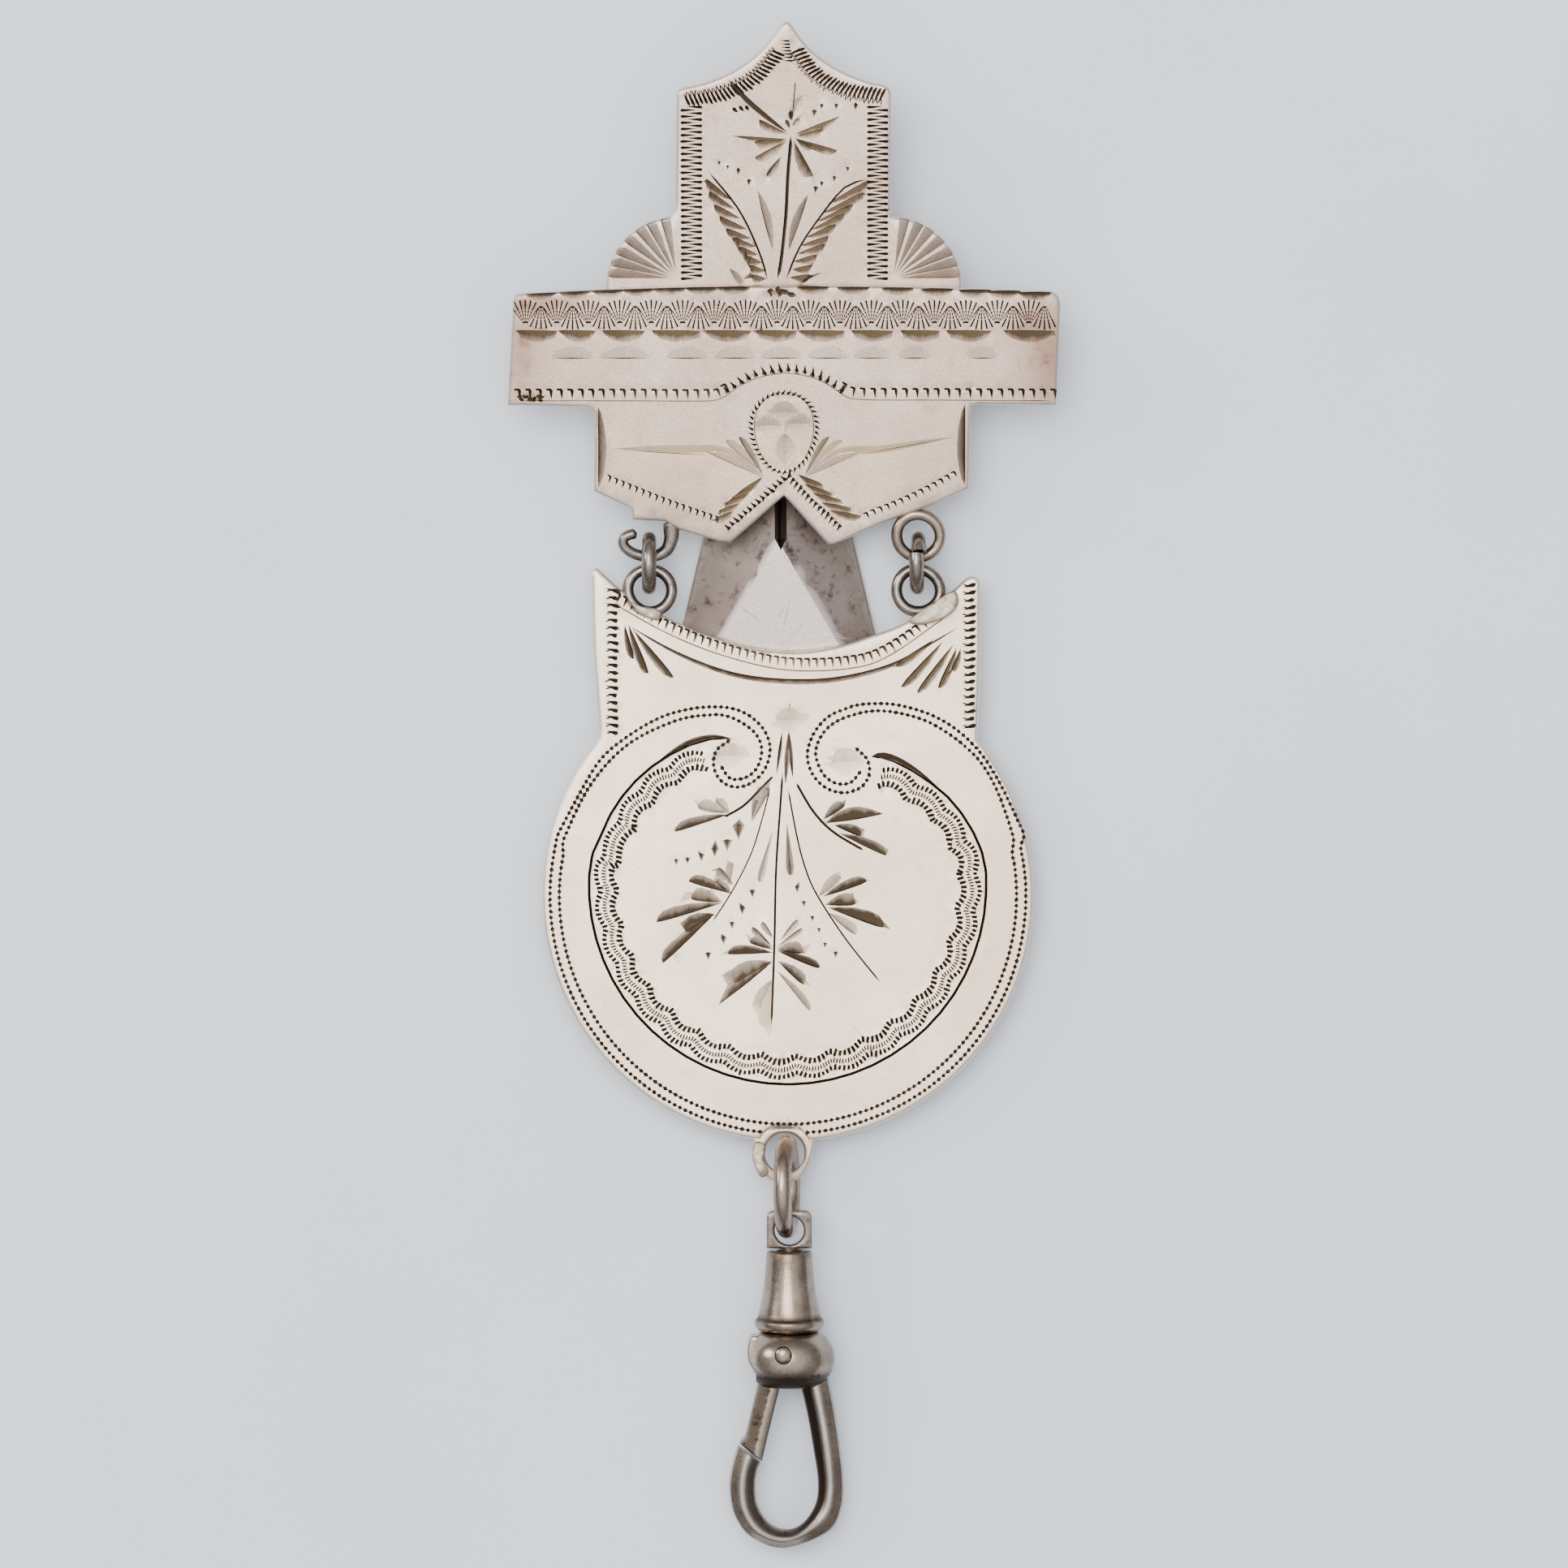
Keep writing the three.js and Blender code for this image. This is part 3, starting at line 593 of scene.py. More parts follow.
ringSilver = silverPaint("ringSilver", {
    "light": rgb(0.33, 0.295, 0.265), "warm": rgb(0.19, 0.16, 0.138), "tarnishAndShade": rgb(0.055, 0.040, 0.031),
    "paintedRimHighlight": rgb(0.6, 0.58, 0.56), "dark": rgb(0.06, 0.045, 0.04), "gilt": rgb(0.5, 0.4, 0.28),
    "cloudScale": 0.5, "spots": 0.55, "speckle": 0.10, "grainScale": 6.0, "roughness": 0.18,
    "scratch": 0.2, "bumpHeight": 0.012})
swivelSilver = silverPaint("swivelSilver", {
    "light": rgb(0.40, 0.325, 0.265), "warm": rgb(0.24, 0.18, 0.14), "tarnishAndShade": rgb(0.045, 0.030, 0.022),
    "paintedRimHighlight": rgb(0.75, 0.70, 0.66), "dark": rgb(0.06, 0.045, 0.04), "gilt": rgb(0.6, 0.46, 0.32),
    "cloudScale": 0.33, "spots": 0.28, "speckle": 0.12, "grainScale": 6.0, "roughness": 0.20,
    "scratch": 0.2, "bumpHeight": 0.012})
# a darker copy of the silver: painted shade and painted dark reflection for the blade under the plaque; the
# bend and the gate's spring wear it too
bladeSilver = silverPaint("bladeSilver", {
    "light": rgb(0.55, 0.47, 0.43), "warm": rgb(0.44, 0.36, 0.32), "tarnishAndShade": rgb(0.055, 0.037, 0.030),
    "paintedRimHighlight": rgb(0.80, 0.715, 0.67), "dark": rgb(0.04, 0.03, 0.026), "gilt": rgb(0.5, 0.4, 0.3),
    "cloudScale": 0.2, "spots": 0.35, "speckle": 0.12, "grainScale": 5.0, "roughness": 0.34,
    "scratch": 0.3, "bumpHeight": 0.014})
solderPaint = silverPaint("solderPaint", {
    "light": rgb(0.70, 0.64, 0.54), "warm": rgb(0.50, 0.42, 0.32), "tarnishAndShade": rgb(0.22, 0.16, 0.10),
    "paintedRimHighlight": rgb(0.66, 0.62, 0.54), "dark": rgb(0.10, 0.07, 0.05), "gilt": rgb(0.5, 0.4, 0.3),
    "cloudScale": 0.9, "spots": 0.5, "speckle": 0.3, "grainScale": 3.0, "roughness": 0.42,
    "scratch": 0.1, "bumpHeight": 0.05})
print("finishes made")


def onPlaque(solid):
    # from the flat drawing to the leaning plaque
    points, triangles = solid
    return leaned(points - np.array([0, plaqueFoot[1], 0]), plaqueFoot, plaqueLean), triangles


def wavy(level, size=0.012):
    # a level face with the faint swells of hand-worked sheet
    return lambda x, y: level + size * (np.sin(x * 0.55 + 1.3 * np.sin(y * 0.31))
                                        + np.sin(y * 0.62 + x * 0.17 + 2))


def stained(points, spots):
    # tarnish: soft round spots (x, y, radius x, radius y, strength), the strongest at each point
    x, y = points[:, 0, None], points[:, 1, None]
    sx, sy, rx, ry, strong = np.array(spots).T
    return (strong * np.exp(-((x - sx) / rx) ** 2 - ((y - sy) / ry) ** 2)).max(axis=1)


def teeth(places, dark=0.95):
    # small triangular nicks (x, y, width), point down
    return [cut([(x, y + width * 0.5), (x - width * 0.15, y - width * 0.75)], width, 0.08, "tooth", dark)
            for x, y, width in places]


def discs(places):
    # shallow round hollows (x, y, radius)
    return [cut([(x - radius, y), (x + radius, y)], 2 * radius, 0.06, "disc", 0.34)
            for x, y, radius in places]


crown = {"thickness": 1.1, "underside": -1.25, "rim": 0.24, "fanRadius": 5.3, "fanCentre": (8.05, 37.4),
         "hatch": 0.33, "wedges": 28, "wedgePitch": 0.47,
         "fluteAngles": (1.5, 11.5, 22.3, 35.7, 49.4, 61, 75)}
fanX, fanY = crown["fanCentre"]
crownOutline = np.concatenate([
    arc((-fanX, fanY), crown["fanRadius"], 180, 95.4, 26),
    [(-8.15, 43.2), (-8.05, 51.85)],
    bezier((-8.05, 51.85), (-8.05, 52.35), (-7.45, 52.45), 4),
    bezier((-7.45, 52.45), (-2.6, 53.3), (-0.25, 57.1), 14),
    bezier((-0.25, 57.1), (0.25, 57.7), (0.7, 57.0), 5),
    bezier((0.7, 57.0), (2.4, 54.0), (6.85, 52.75), 14),
    bezier((6.85, 52.75), (8.05, 52.75), (8.05, 51.85), 6),
    [(8.05, 51.85), (8.0, 42.75)],
    arc((fanX, fanY), crown["fanRadius"], 84.6, 0, 26),
    [(13.35, 35.55), (-13.35, 35.55)],
])
crownCuts = []
# hatched border: along both ogees, then interlocking wedges down both sides
for ogee, tone, lean in (([(-0.55, 55.1), (-2.2, 53.25), (-4.5, 52.1), (-7.3, 51.6)], 1.25, -18),
                         ([(0.9, 55.2), (2.4, 53.4), (4.6, 52.25), (7.3, 51.8)], 1.05, 18)):
    crownCuts += acrossRow(ogee, crown["hatch"], 1.35, 0.22, 0.09, lean, "petal", tone)
    crownCuts += acrossRow(ogee, crown["hatch"], 1.3, 0.1, 0.05, -lean * 0.4, "wedge", tone)
crownCuts += acrossRow([(0.0, 56.0), (0.25, 54.5)], 0.24, 0.85, 0.15, 0.08, 12, "drop", 1.4)
for side, outer, inner in ((-1, 7.78, 6.1), (1, 7.85, 6.2)):
    for k in range(crown["wedges"]):
        y = 51.0 - crown["wedgePitch"] * k
        outward = [(side * inner, y), (side * (inner + 1.3), y + 0.05)]
        inward = [(side * outer, y - 0.23), (side * (outer - 1.3), y - 0.2)]
        crownCuts += [cut(ends, 0.24, 0.09, "wedge", 1.1) for ends in (outward, inward)]
strokes = [
    # flower: base, tip, width, lean, tone, shape
    ((0.81, 49.0), (4.22, 50.35), 0.62, -0.85, 0.85, "leaf"),
    ((0.87, 48.85), (2.8, 49.35), 0.6, -0.85, 0.8, "petal"),
    ((0.75, 48.7), (4.0, 47.75), 0.62, -0.85, 0.95, "petal"),
    ((0.87, 48.6), (2.25, 48.0), 0.5, -0.8, 0.85, "petal"),
    ((0.75, 48.5), (2.2, 45.8), 0.8, -0.85, 0.8, "petal"),
    ((-0.2, 47.3), (-1.3, 45.8), 0.55, 0.3, 0.7, "petal"),
    ((0.19, 48.5), (-2.2, 47.2), 0.75, 0.85, 0.8, "petal"),
    ((0.3, 48.6), (-3.9, 48.87), 0.34, 0.85, 1.1, "leaf"),
    ((0.2, 48.5), (-2.2, 48.45), 0.62, 0.85, 0.85, "petal"),
    ((0.3, 49.0), (-1.85, 50.1), 0.62, 0.85, 0.85, "petal"),
    ((0.6, 50.0), (1.15, 51.65), 1.0, -0.1, 0.16, "petal"),
    ((0.5, 50.0), (0.5, 50.7), 0.4, 0.0, 0.8, "petal"), ((0.6, 49.6), (1.2, 50.1), 0.5, 0.0, 0.35, "petal"),
    ((0.45, 49.4), (0.15, 50.05), 0.35, 0.0, 0.6, "petal"),
    ((-3.45, 50.6), (-3.85, 50.95), 0.3, 0.0, 0.9, "petal"),
    ((-3.0, 50.7), (-3.35, 51.05), 0.3, 0.0, 0.9, "petal"),
    ((-2.6, 50.75), (-2.9, 51.1), 0.3, 0.0, 0.9, "petal"),
    # long leaves beside the stem
    ((-2.0, 44.8), (-0.85, 40.2), 0.62, 0.7, 0.55, "leaf"),
    ((1.85, 44.5), (0.35, 40.2), 0.62, -0.7, 0.6, "leaf"),
    ((-4.1, 38.9), (-3.2, 37.7), 0.55, 0.2, 0.35, "petal"),
    ((2.9, 38.6), (1.4, 37.8), 0.5, 0.2, 0.35, "petal"),
]
for base, tip, width, lean, tone, shape in strokes:
    crownCuts.append(cut([base, tip], width, 0.1, shape, tone, lean=lean))
crownCuts += [
    cut([(0.3, 49.1), (-2.25, 51.25), (-4.2, 53.1)], 0.42, 0.12, "moon", 1.1, 12, 0.7),
    cut([(0.6, 50.0), (0.85, 52.9)], 0.08, 0.05, "line", 1.0),
    cut([(0.5, 48.9), (0.25, 46), (0.1, 43), (-0.2, 40), (-0.5, 38)], 0.27, 0.1, "line", 0.9, 18, 0.4),
    cut([(-5.7, 46.2), (-3.4, 43.3), (-1.9, 40.2), (-1.2, 37.9)], 0.16, 0.08, "line", 0.8, 12),
    cut([(0.1, 37.9), (1.2, 40.5), (2.9, 43), (4.6, 45), (6.3, 45.6)], 0.16, 0.08, "line", 0.8, 12),
]
crownCuts += teeth([(2.3, 50.6, 0.45), (2.85, 51.1, 0.32), (3.94, 51.1, 0.34), (5.4, 51.05, 0.36),
                    (-4.84, 46.8, 0.28), (-4.2, 46.5, 0.28), (-3.4, 46.15, 0.34), (-2.6, 45.4, 0.4),
                    (4.8, 46.35, 0.3), (3.8, 45.65, 0.34), (2.85, 45.25, 0.34), (2.4, 44.85, 0.42)])
# two sprays: leaves down the outer side of each stem
sprays = [((-3.9, 44), (-5.8, 45.6)), ((-3.6, 43.3), (-5.6, 44.7)), ((-3.2, 42.6), (-5.2, 43.7)),
          ((-2.7, 41.8), (-4.8, 42.8)), ((-2.4, 41.1), (-4.3, 41.9)), ((-2.1, 40.5), (-3.7, 41.2)),
          ((-1.9, 39.9), (-3.3, 40.5)), ((-1.6, 39.3), (-2.8, 39.8)), ((-1.4, 38.7), (-2.5, 39.1)),
          ((-1.3, 38.1), (-2.4, 38.4)), ((3.2, 43.7), (6.3, 45.5)), ((2.8, 43.0), (5.9, 44.6)),
          ((2.4, 42.4), (5.1, 43.7)), ((2, 41.8), (4.5, 43)), ((1.6, 41.2), (3.8, 42.2)),
          ((1.2, 40.6), (3.3, 41.3)), ((1, 40.0), (3.0, 40.7)), ((0.7, 39.4), (2.4, 39.9)),
          ((0.6, 38.8), (2.0, 39.1)), ((0.4, 38.2), (1.9, 38.4))]
crownCuts += strokeRow(sprays, 0.6, 0.95, lean=-0.8)
# flutes of the two fans, each with its broad side up
for side, centre in ((-1, np.array((-7.98, 38.1))), (1, np.array((8.15, 38.1)))):
    for angle in crown["fluteAngles"]:
        way = np.array([side * math.cos(math.radians(angle)), math.sin(math.radians(angle))])
        crownCuts.append(cut([centre + 5.15 * way, centre + 0.5 * way], 0.78, 0.17, "wedge", 0.46,
                             lean=-0.75 * side))
crownSolid, crownFlat, crownMarks = engravedPlate(
    crownOutline, wavy(crown["underside"] + crown["thickness"]), lambda x, y: crown["underside"] + 0 * x,
    crownCuts, rim=crown["rim"])
addPiece("crown_plate_look", onPlaque(crownSolid), "plaque", ["crown_plate"], plaqueSilver,
         crownFlat, marks=crownMarks)
print("crown made")


def hookRow(path, count, size, toneAt):
    # nicks with a short bar on top, each leaning on the next like the stitches of a hem
    made = []
    line = curve(path, count)
    for p, along, side in zip(line, *sidesOf(line)):
        tone = toneAt(p[0])
        top, foot = p + side * 0.36 * size, p - side * 0.42 * size
        made.append(cut([top + along * 0.1 * size, foot + along * 0.18 * size], 0.27 * size, 0.1, "wedge",
                        tone, lean=0.3))
        made.append(cut([top - along * 0.24 * size, top + along * 0.2 * size], 0.17 * size, 0.08, "block",
                        tone * 1.2))
    return made


def zigzagRow(path, pitch, length, dark):
    # slanted strokes joined by thin ones, like a row of letters N
    thick = acrossRow(path, pitch, length, 0.26, 0.1, -16, "wedge", dark)
    return thick + acrossRow(path, pitch, length, 0.11, 0.06, 18, "wedge", dark)


bar = {"thickness": 1.2, "rim": 0.26, "fanPitch": 2.36, "dotPitch": 0.26, "hookCount": 21,
       "scallops": (-18.3, -15.8, -13.3, -11, -8.6, -6.2, -3.8, 2.2, 5.2, 8.5, 11.5, 14.3, 16.5, 18.8)}
barOutline = np.concatenate([
    [(-20.75, 28.65), (-20.3, 36.6)],
    bezier((-20.3, 36.6), (-20.2, 37.05), (-19.7, 37.05), 5),
    bezier((-19.7, 37.05), (0, 38.2), (20.0, 37.2), 30),
    bezier((20.0, 37.2), (20.65, 37.1), (20.75, 36.3), 6),
    [(20.75, 36.3), (20.45, 28.65), (14.05, 28.7), (13.9, 22.35), (11.4, 21.2), (7.4, 19.75), (3.75, 18.1),
     (3.3, 18.15), (0, 21.8), (-4.0, 18.3), (-4.75, 18.3), (-7.9, 19.25), (-9.0, 19.9), (-11.4, 20.0),
     (-11.5, 20.8), (-14.3, 22.15), (-14.2, 28.1), (-14.75, 28.5)],
])
barCuts = []
# flat scallops hanging under the bar's top edge
for x in bar["scallops"]:
    edge = 37.62 - 0.0012 * x * x
    barCuts.append(cut([(x - 1.25, edge), (x + 1.25, edge)], 0.62, 0.1, "moon", 0.85, lean=-0.85))
# fans of dotted rays, standing on their points and hanging from them by turns
for k, x in enumerate(np.arange(-19.4, 20.2, bar["fanPitch"] / 2)):
    up = k % 2 == 0
    apex = np.array([x, 34.7 if up else 36.35])
    for swing in (-37, -25, -12.5, 0, 12.5, 25, 37) if up else (-25, -12.5, 0, 12.5, 25):
        angle = math.radians((90 if up else -90) + swing)
        way = np.array([math.cos(angle), math.sin(angle)])
        reach = 1.98 if abs(swing) < 37 else 1.7
        for run in np.arange(0.28, reach, bar["dotPitch"]):
            p = apex + way * run
            tone = 1.3 if x > -4 else 1.0
            barCuts.append(cut([p - way * 0.105, p + way * 0.105], 0.045 + 0.05 * run, 0.05, "block", tone))
# row of half-moon cuts, straight side up, and its paler mirror below
for left, right in ((-20.1, -17.0), (-16.8, -14.1), (-13.7, -10.4), (-10, -6.2), (-6, -2.4), (-2.2, 1),
                    (1.1, 4.6), (5, 8.2), (8.7, 11.7), (12.1, 15.6), (16.4, 20.3)):
    barCuts.append(cut([(left, 34.35), (right, 34.3)], 0.92, 0.12, "moon", 0.9, lean=-0.92))
for left, right in ((-17.5, -14.3), (-13.9, -10), (-8.9, -5.7), (-5.3, -2.1), (-1.8, 1.4), (1.7, 4.9),
                    (5.2, 8), (8.6, 11), (13.8, 16)):
    barCuts.append(cut([(left, 32.3), (right, 32.3)], 0.9, 0.05, "moon", 0.09, lean=0.92))
    barCuts.append(cut([(left, 32.23), (right, 32.23)], 0.07, 0.04, "leaf", 0.8))
# border of hooked nicks on a faint base line, rising over the oval in a low arch
borderPath = [(-20.0, 29.5), (-12, 29.5), (-5.4, 29.5), (-4.4, 29.9), (-2.6, 31.0), (0, 31.6), (2.6, 31.1),
              (4.4, 30.0), (5.6, 29.6), (12, 29.55), (20.2, 29.5)]
barCuts += hookRow([p for p in borderPath if p[0] < -4], bar["hookCount"], 1.0,
                   lambda x: 0.65 + 1.4 * math.exp(-((x + 20.5) / 5) ** 2))
barCuts += zigzagRow([p for p in borderPath if abs(p[0]) < 5], 0.62, 0.8, 1.0)
barCuts += hookRow([p for p in borderPath if p[0] > 4], bar["hookCount"], 1.0, lambda x: 0.7 + 0.02 * x)
barCuts.append(cut([(x, y - 0.48) for x, y in borderPath], 0.09, 0.04, "line", 0.4, 90))
# a crowded corner, and the dark spot where the crown meets the bar
barCuts += smudge(16, (-20.2, -18.0), (28.95, 29.35), (0.2, 0.6), (-0.15, 0.25), 0.28, 0.08)
barCuts += smudge(14, (-1.35, 0.45), (37.0, 37.55), (0.15, 0.5), (-0.15, 0.1), 0.4, 0.05)
# long cuts down the apron's sides
barCuts += [cut([(-13.95, 28.6), (-13.9, 25.5), (-13.95, 22.4)], 0.62, 0.14, "moon", 0.7, 13, 0.8),
            cut([(13.6, 28.8), (13.55, 25.6), (13.6, 22.6)], 0.62, 0.14, "moon", 0.7, 13, -0.8)]
# roped oval with a four-petalled flower
around = np.linspace(0.0, 2 * math.pi, 40)
oval = np.stack([2.55 * np.sin(around) * (1 + 0.12 * np.cos(around)),
                 26.75 + np.where(np.cos(around) > 0, 2.95, 3.2) * np.cos(around)], 1)
barCuts += acrossRow(oval, 0.42, 0.5, 0.21, 0.09, 32, "wedge", 0.95)
barCuts.append(cut(oval * [0.87, 1], 0.08, 0.04, "line", 0.4, 60))
barCuts += discs([(0.0, 28.15, 0.88), (-1.2, 27.15, 0.78), (1.1, 27.3, 0.82)])
barCuts.append(cut([(0.05, 26.6), (0.2, 24.0)], 1.6, 0.07, "leaf", 0.26))
# long pale leaves to both sides, dashed borders and leaf cuts along the notch
for side, tip in ((-1, 25.4), (1, 26.3)):
    barCuts += [cut([(side * 1.4, 23.2), (side * 4.2, 25.05), (side * 7.5, 25.2), (side * 12.8, tip)], 0.62,
                    0.07, "leaf", 0.14, 15, 0.6 * side),
                cut([(side * 5.5, 24.9), (side * 12.3, tip - 0.1)], 0.08, 0.04, "leaf", 0.6, 10),
                cut([(side * 1.6, 23.4), (side * 3.4, 26.3)], 0.5, 0.08, "petal", 0.55, lean=0.6 * side),
                cut([(side * 1.5, 23.5), (side * 4.4, 26.0)], 0.62, 0.08, "petal", 0.14, lean=0.6 * side),
                cut([(side * 1.5, 23.2), (side * 6.2, 25.4)], 0.7, 0.08, "petal", 0.18, lean=0.7 * side)]
barCuts += hookRow([(-13.2, 23.1), (-9, 21.4), (-5.1, 20.0)], 17, 0.72, lambda x: 1.1)
barCuts += hookRow([(6.2, 20.3), (9.8, 21.8), (12.8, 23.4)], 14, 0.72, lambda x: 0.9)
barCuts += zigzagRow([(-4.3, 19.5), (-2.2, 21.3), (-0.1, 23.2)], 0.42, 0.66, 1.0)
barCuts += zigzagRow([(4.1, 19.4), (2.0, 21.4), (0.3, 23.2)], 0.42, 0.66, 0.9)
notchLeaves = [((-1.6, 23.3), (-3.4, 22.1)), ((-2.1, 22.7), (-3.9, 21.7)), ((-2.7, 22.0), (-4.4, 21.3)),
               ((-3.3, 21.3), (-4.9, 20.7)), ((-3.8, 20.7), (-5.2, 20.1)), ((1, 23.5), (2.9, 22.7)),
               ((1.5, 22.8), (3.6, 22.0)), ((2.1, 22.1), (4.3, 21.5)), ((2.7, 21.4), (5.0, 20.9)),
               ((3.3, 20.8), (5.8, 20.3))]
barCuts += strokeRow(notchLeaves, 0.58, 0.9, lean=-0.8)
barCuts += [cut([(10.95, 20.95), (11.4, 20.9)], 0.45, 0.12, "diamond", 1.6)]
# scars of use
barCuts += scratches(20, (-19, 19), (29, 37), (0.6, 3.0), 0.05, 0.01, 0.12)
barSolid, barFlat, barMarks = engravedPlate(
    barOutline, wavy(bar["thickness"]), lambda x, y: 0 * x, barCuts, [(ring["upperPlace"], ring["bore"])],
    rim=bar["rim"])
barMarks["stainAndShade"] = stained(barSolid[0], [
    (-20.6, 33, 2.4, 5, 1.2), (-19.6, 36.2, 4, 1.2, 1.2), (20.6, 32.5, 2.8, 5, 1.4),
    (19.3, 34.6, 3.0, 1.6, 1.2), (0, 35.5, 30, 1.6, 0.25), (9.8, 32.8, 1.2, 0.5, 0.45),
    (15, 32.8, 1.6, 0.5, 0.45),
    (18.5, 30.5, 2.4, 1.0, 0.6), (-19.3, 29.4, 1.2, 0.5, 1.3), (-8.5, 20.3, 2.2, 0.7, 0.5),
    (-4.3, 18.9, 1.2, 0.8, 0.45), (-0.4, 37.4, 1.2, 0.55, 1.4), (-11, 37.4, 9, 0.25, 0.5),
    (10, 37.4, 9, 0.25, 0.5), (11, 21.2, 1.2, 0.6, 0.5), (-13.9, 25, 0.5, 4, 0.5), (13.6, 25, 0.5, 4, 0.5)])
barMarks["gilt"] = stained(barSolid[0], [
    (-6, 25, 5, 0.7, 0.9), (6, 25.3, 5, 0.7, 0.9), (0, 22, 6, 2, 0.25), (-12, 24, 2, 3, 0.2)])
addPiece("bar_apron_plate_look", onPlaque(barSolid), "plaque", ["bar_apron_plate"],
         plaqueSilver, barFlat, marks=barMarks)
print("bar and apron made")


pendant = {"underside": 2.2, "thickness": 1.1, "rim": 0.3, "disc": (0.3, -8.4), "radius": 18.5, "dots": 0.45,
           "waves": 25,
           # rows of the band: way in from the groove, swing, pitch, length, width, tone
           "band": [(0.5, 0.4, 0.34, 0.40, 0.21, 1.7), (1.05, 0.4, 0.22, 0.36, 0.12, 0.7),
                    (1.65, 0.5, 0.35, 0.50, 0.23, 1.9)]}
pendantOutline = np.concatenate([
    arc(pendant["disc"], pendant["radius"], 140, 399.5, 150),
    [(14.8, 10), (14.8, 15.2)],
    bezier((14.8, 15.2), (14.5, 15.9), (13.7, 15.5), 4),
    bezier((13.7, 15.5), (10.5, 12.3), (6.6, 11.2), 12),
    bezier((6.6, 11.2), (0.6, 8.8), (-4.9, 11.0), 16),
    bezier((-4.9, 11.0), (-8.6, 12.0), (-12.6, 14.9), 12),
    [(-12.6, 14.9), (-14.1, 16.3), (-14.5, 16.1), (-14.35, 10)],
])
pendantCuts = []
# hatched ears and the hooked border under the curved top
for path, lean in (([(-12.95, 14.6), (-12.95, 3.9)], 14), ([(13.9, 14.9), (13.9, 4.3)], -14)):
    pendantCuts += acrossRow(path, 0.56, 0.95, 0.34, 0.1, lean, "drop", 1.1)
    pendantCuts += acrossRow(path, 0.56, 0.9, 0.12, 0.06, -lean, "wedge", 0.9)
topLine = [(-12.6, 14.0), (-9, 12.0), (-5, 10.35), (0, 9.15), (5, 9.25), (8, 10.25), (12.4, 13.3)]
pendantCuts += hookRow(topLine, 47, 1.0, lambda x: 0.55 + 0.03 * abs(x))
pendantCuts.append(cut([(x, y - 0.55) for x, y in topLine], 0.11, 0.05, "line", 0.5, 70))
pendantCuts.append(cut([(-12, 12.1), (-8, 9.9), (-4, 8.4), (0, 7.85), (4, 8), (8, 9), (11, 10.6),
                        (13.3, 11.9)], 0.42, 0.12, "moon", 0.8, 60, -0.6))
for base, tip, width in [((-12, 12), (-11.3, 9.4), 0.5), ((-11.7, 12), (-10.2, 8.3), 0.62),
                         ((-11.4, 11.7), (-8.3, 8.0), 0.62), ((12.0, 10.8), (8.8, 7.3), 0.62),
                         ((12.8, 10.6), (10.0, 6.9), 0.62), ((13, 10.3), (11.6, 7.2), 0.6),
                         ((13.3, 10.2), (12.6, 8.5), 0.5), ((11.3, 10.9), (8.4, 8.9), 0.55)]:
    pendantCuts.append(cut([base, tip], width, 0.1, "petal", 0.9, lean=0.6 if tip[0] > 0 else -0.6))
# two rows of diamonds run round the disc and curl into a scroll at each end
rows = [
    (17.9, [(-17.1, -4), (-14.2, 1.3), (-12, 3.4), (-9.3, 5), (-7, 5.65), (-5.3, 5.8), (-3.55, 5.6),
            (-2.05, 4.7), (-1.25, 3.6), (-1.05, 2.5), (-1.4, 1.2), (-2.2, 0.25), (-3.4, -0.25), (-4.5, 0.05),
            (-5.15, 0.85), (-5.3, 1.85), (-5.0, 2.65), (-4.2, 3.2)],
     [(18.1, -4), (16, 0.5), (14, 3.2), (11.5, 5), (8.5, 5.95), (6, 6.0), (4.8, 5.7), (3.55, 5.2), (2.5, 4.2),
      (1.9, 3.0), (1.77, 1.85), (2.15, 0.75), (3.0, -0.2), (4.2, -0.65), (5.3, -0.5), (6.1, 0.05),
      (6.45, 1.0), (6.2, 2.0), (5.75, 2.5), (5.1, 2.75)]),
    (17.2, [(-16.5, -4), (-14.5, 0), (-11.7, 3), (-8, 4.8), (-5.3, 5.2), (-4.1, 5.05), (-2.85, 4.4),
            (-2.0, 3.6), (-1.67, 2.6), (-1.9, 1.5), (-2.5, 0.7), (-3.55, 0.3), (-4.3, 0.6), (-4.65, 1.2)],
     [(17.2, -3.8), (15.8, 0), (14, 2.5), (11, 4.6), (8, 5.45), (6, 5.4), (4.8, 5.05), (3.7, 4.55),
      (2.85, 3.7), (2.4, 2.6), (2.5, 1.7), (2.95, 0.75), (3.7, 0.12), (4.65, 0.0), (5.45, 0.4), (5.8, 1.2)])]
for radius, left, right in rows:
    whole = np.concatenate([np.array(left)[::-1], arc(pendant["disc"], radius, 168, 372, 40),
                            np.array(right)])
    rough = curve(whole, 900)
    pendantCuts += alongRow(rough[::8], pendant["dots"], 0.45, 0.36, 0.09, 2.0)
# plain groove inside them, its two ends swelling into long cuts
grooveCentre, grooveRadius = (0.27, -7.65), 14.95
grooveLine = np.concatenate([[(-3.9, 3.4), (-5.2, 3.45), (-7.2, 2.9), (-9.4, 1.7), (-11.3, 0.1),
                              (-12.9, -2.0), (-14.0, -4.4)],
                             arc(grooveCentre, grooveRadius, 172, 366, 60),
                             [(14.55, -4.2), (13.0, -1.7), (11.7, -0.45), (10.1, 0.75), (8.1, 1.8),
                              (6.66, 2.1)]])
pendantCuts.append(cut(grooveLine, 0.22, 0.12, "line", 1.2, 190))
pendantCuts.append(cut([(-3.7, 3.35), (-5.4, 3.5), (-7.4, 2.9), (-9.8, 1.45)], 0.42, 0.1, "leaf", 0.9, 15,
                       -0.5))
pendantCuts.append(cut([(6.5, 2.05), (8.1, 1.9), (10.1, 0.85), (12.6, -1.2)], 0.5, 0.12, "wedge", 1.1, 15,
                       0.5))
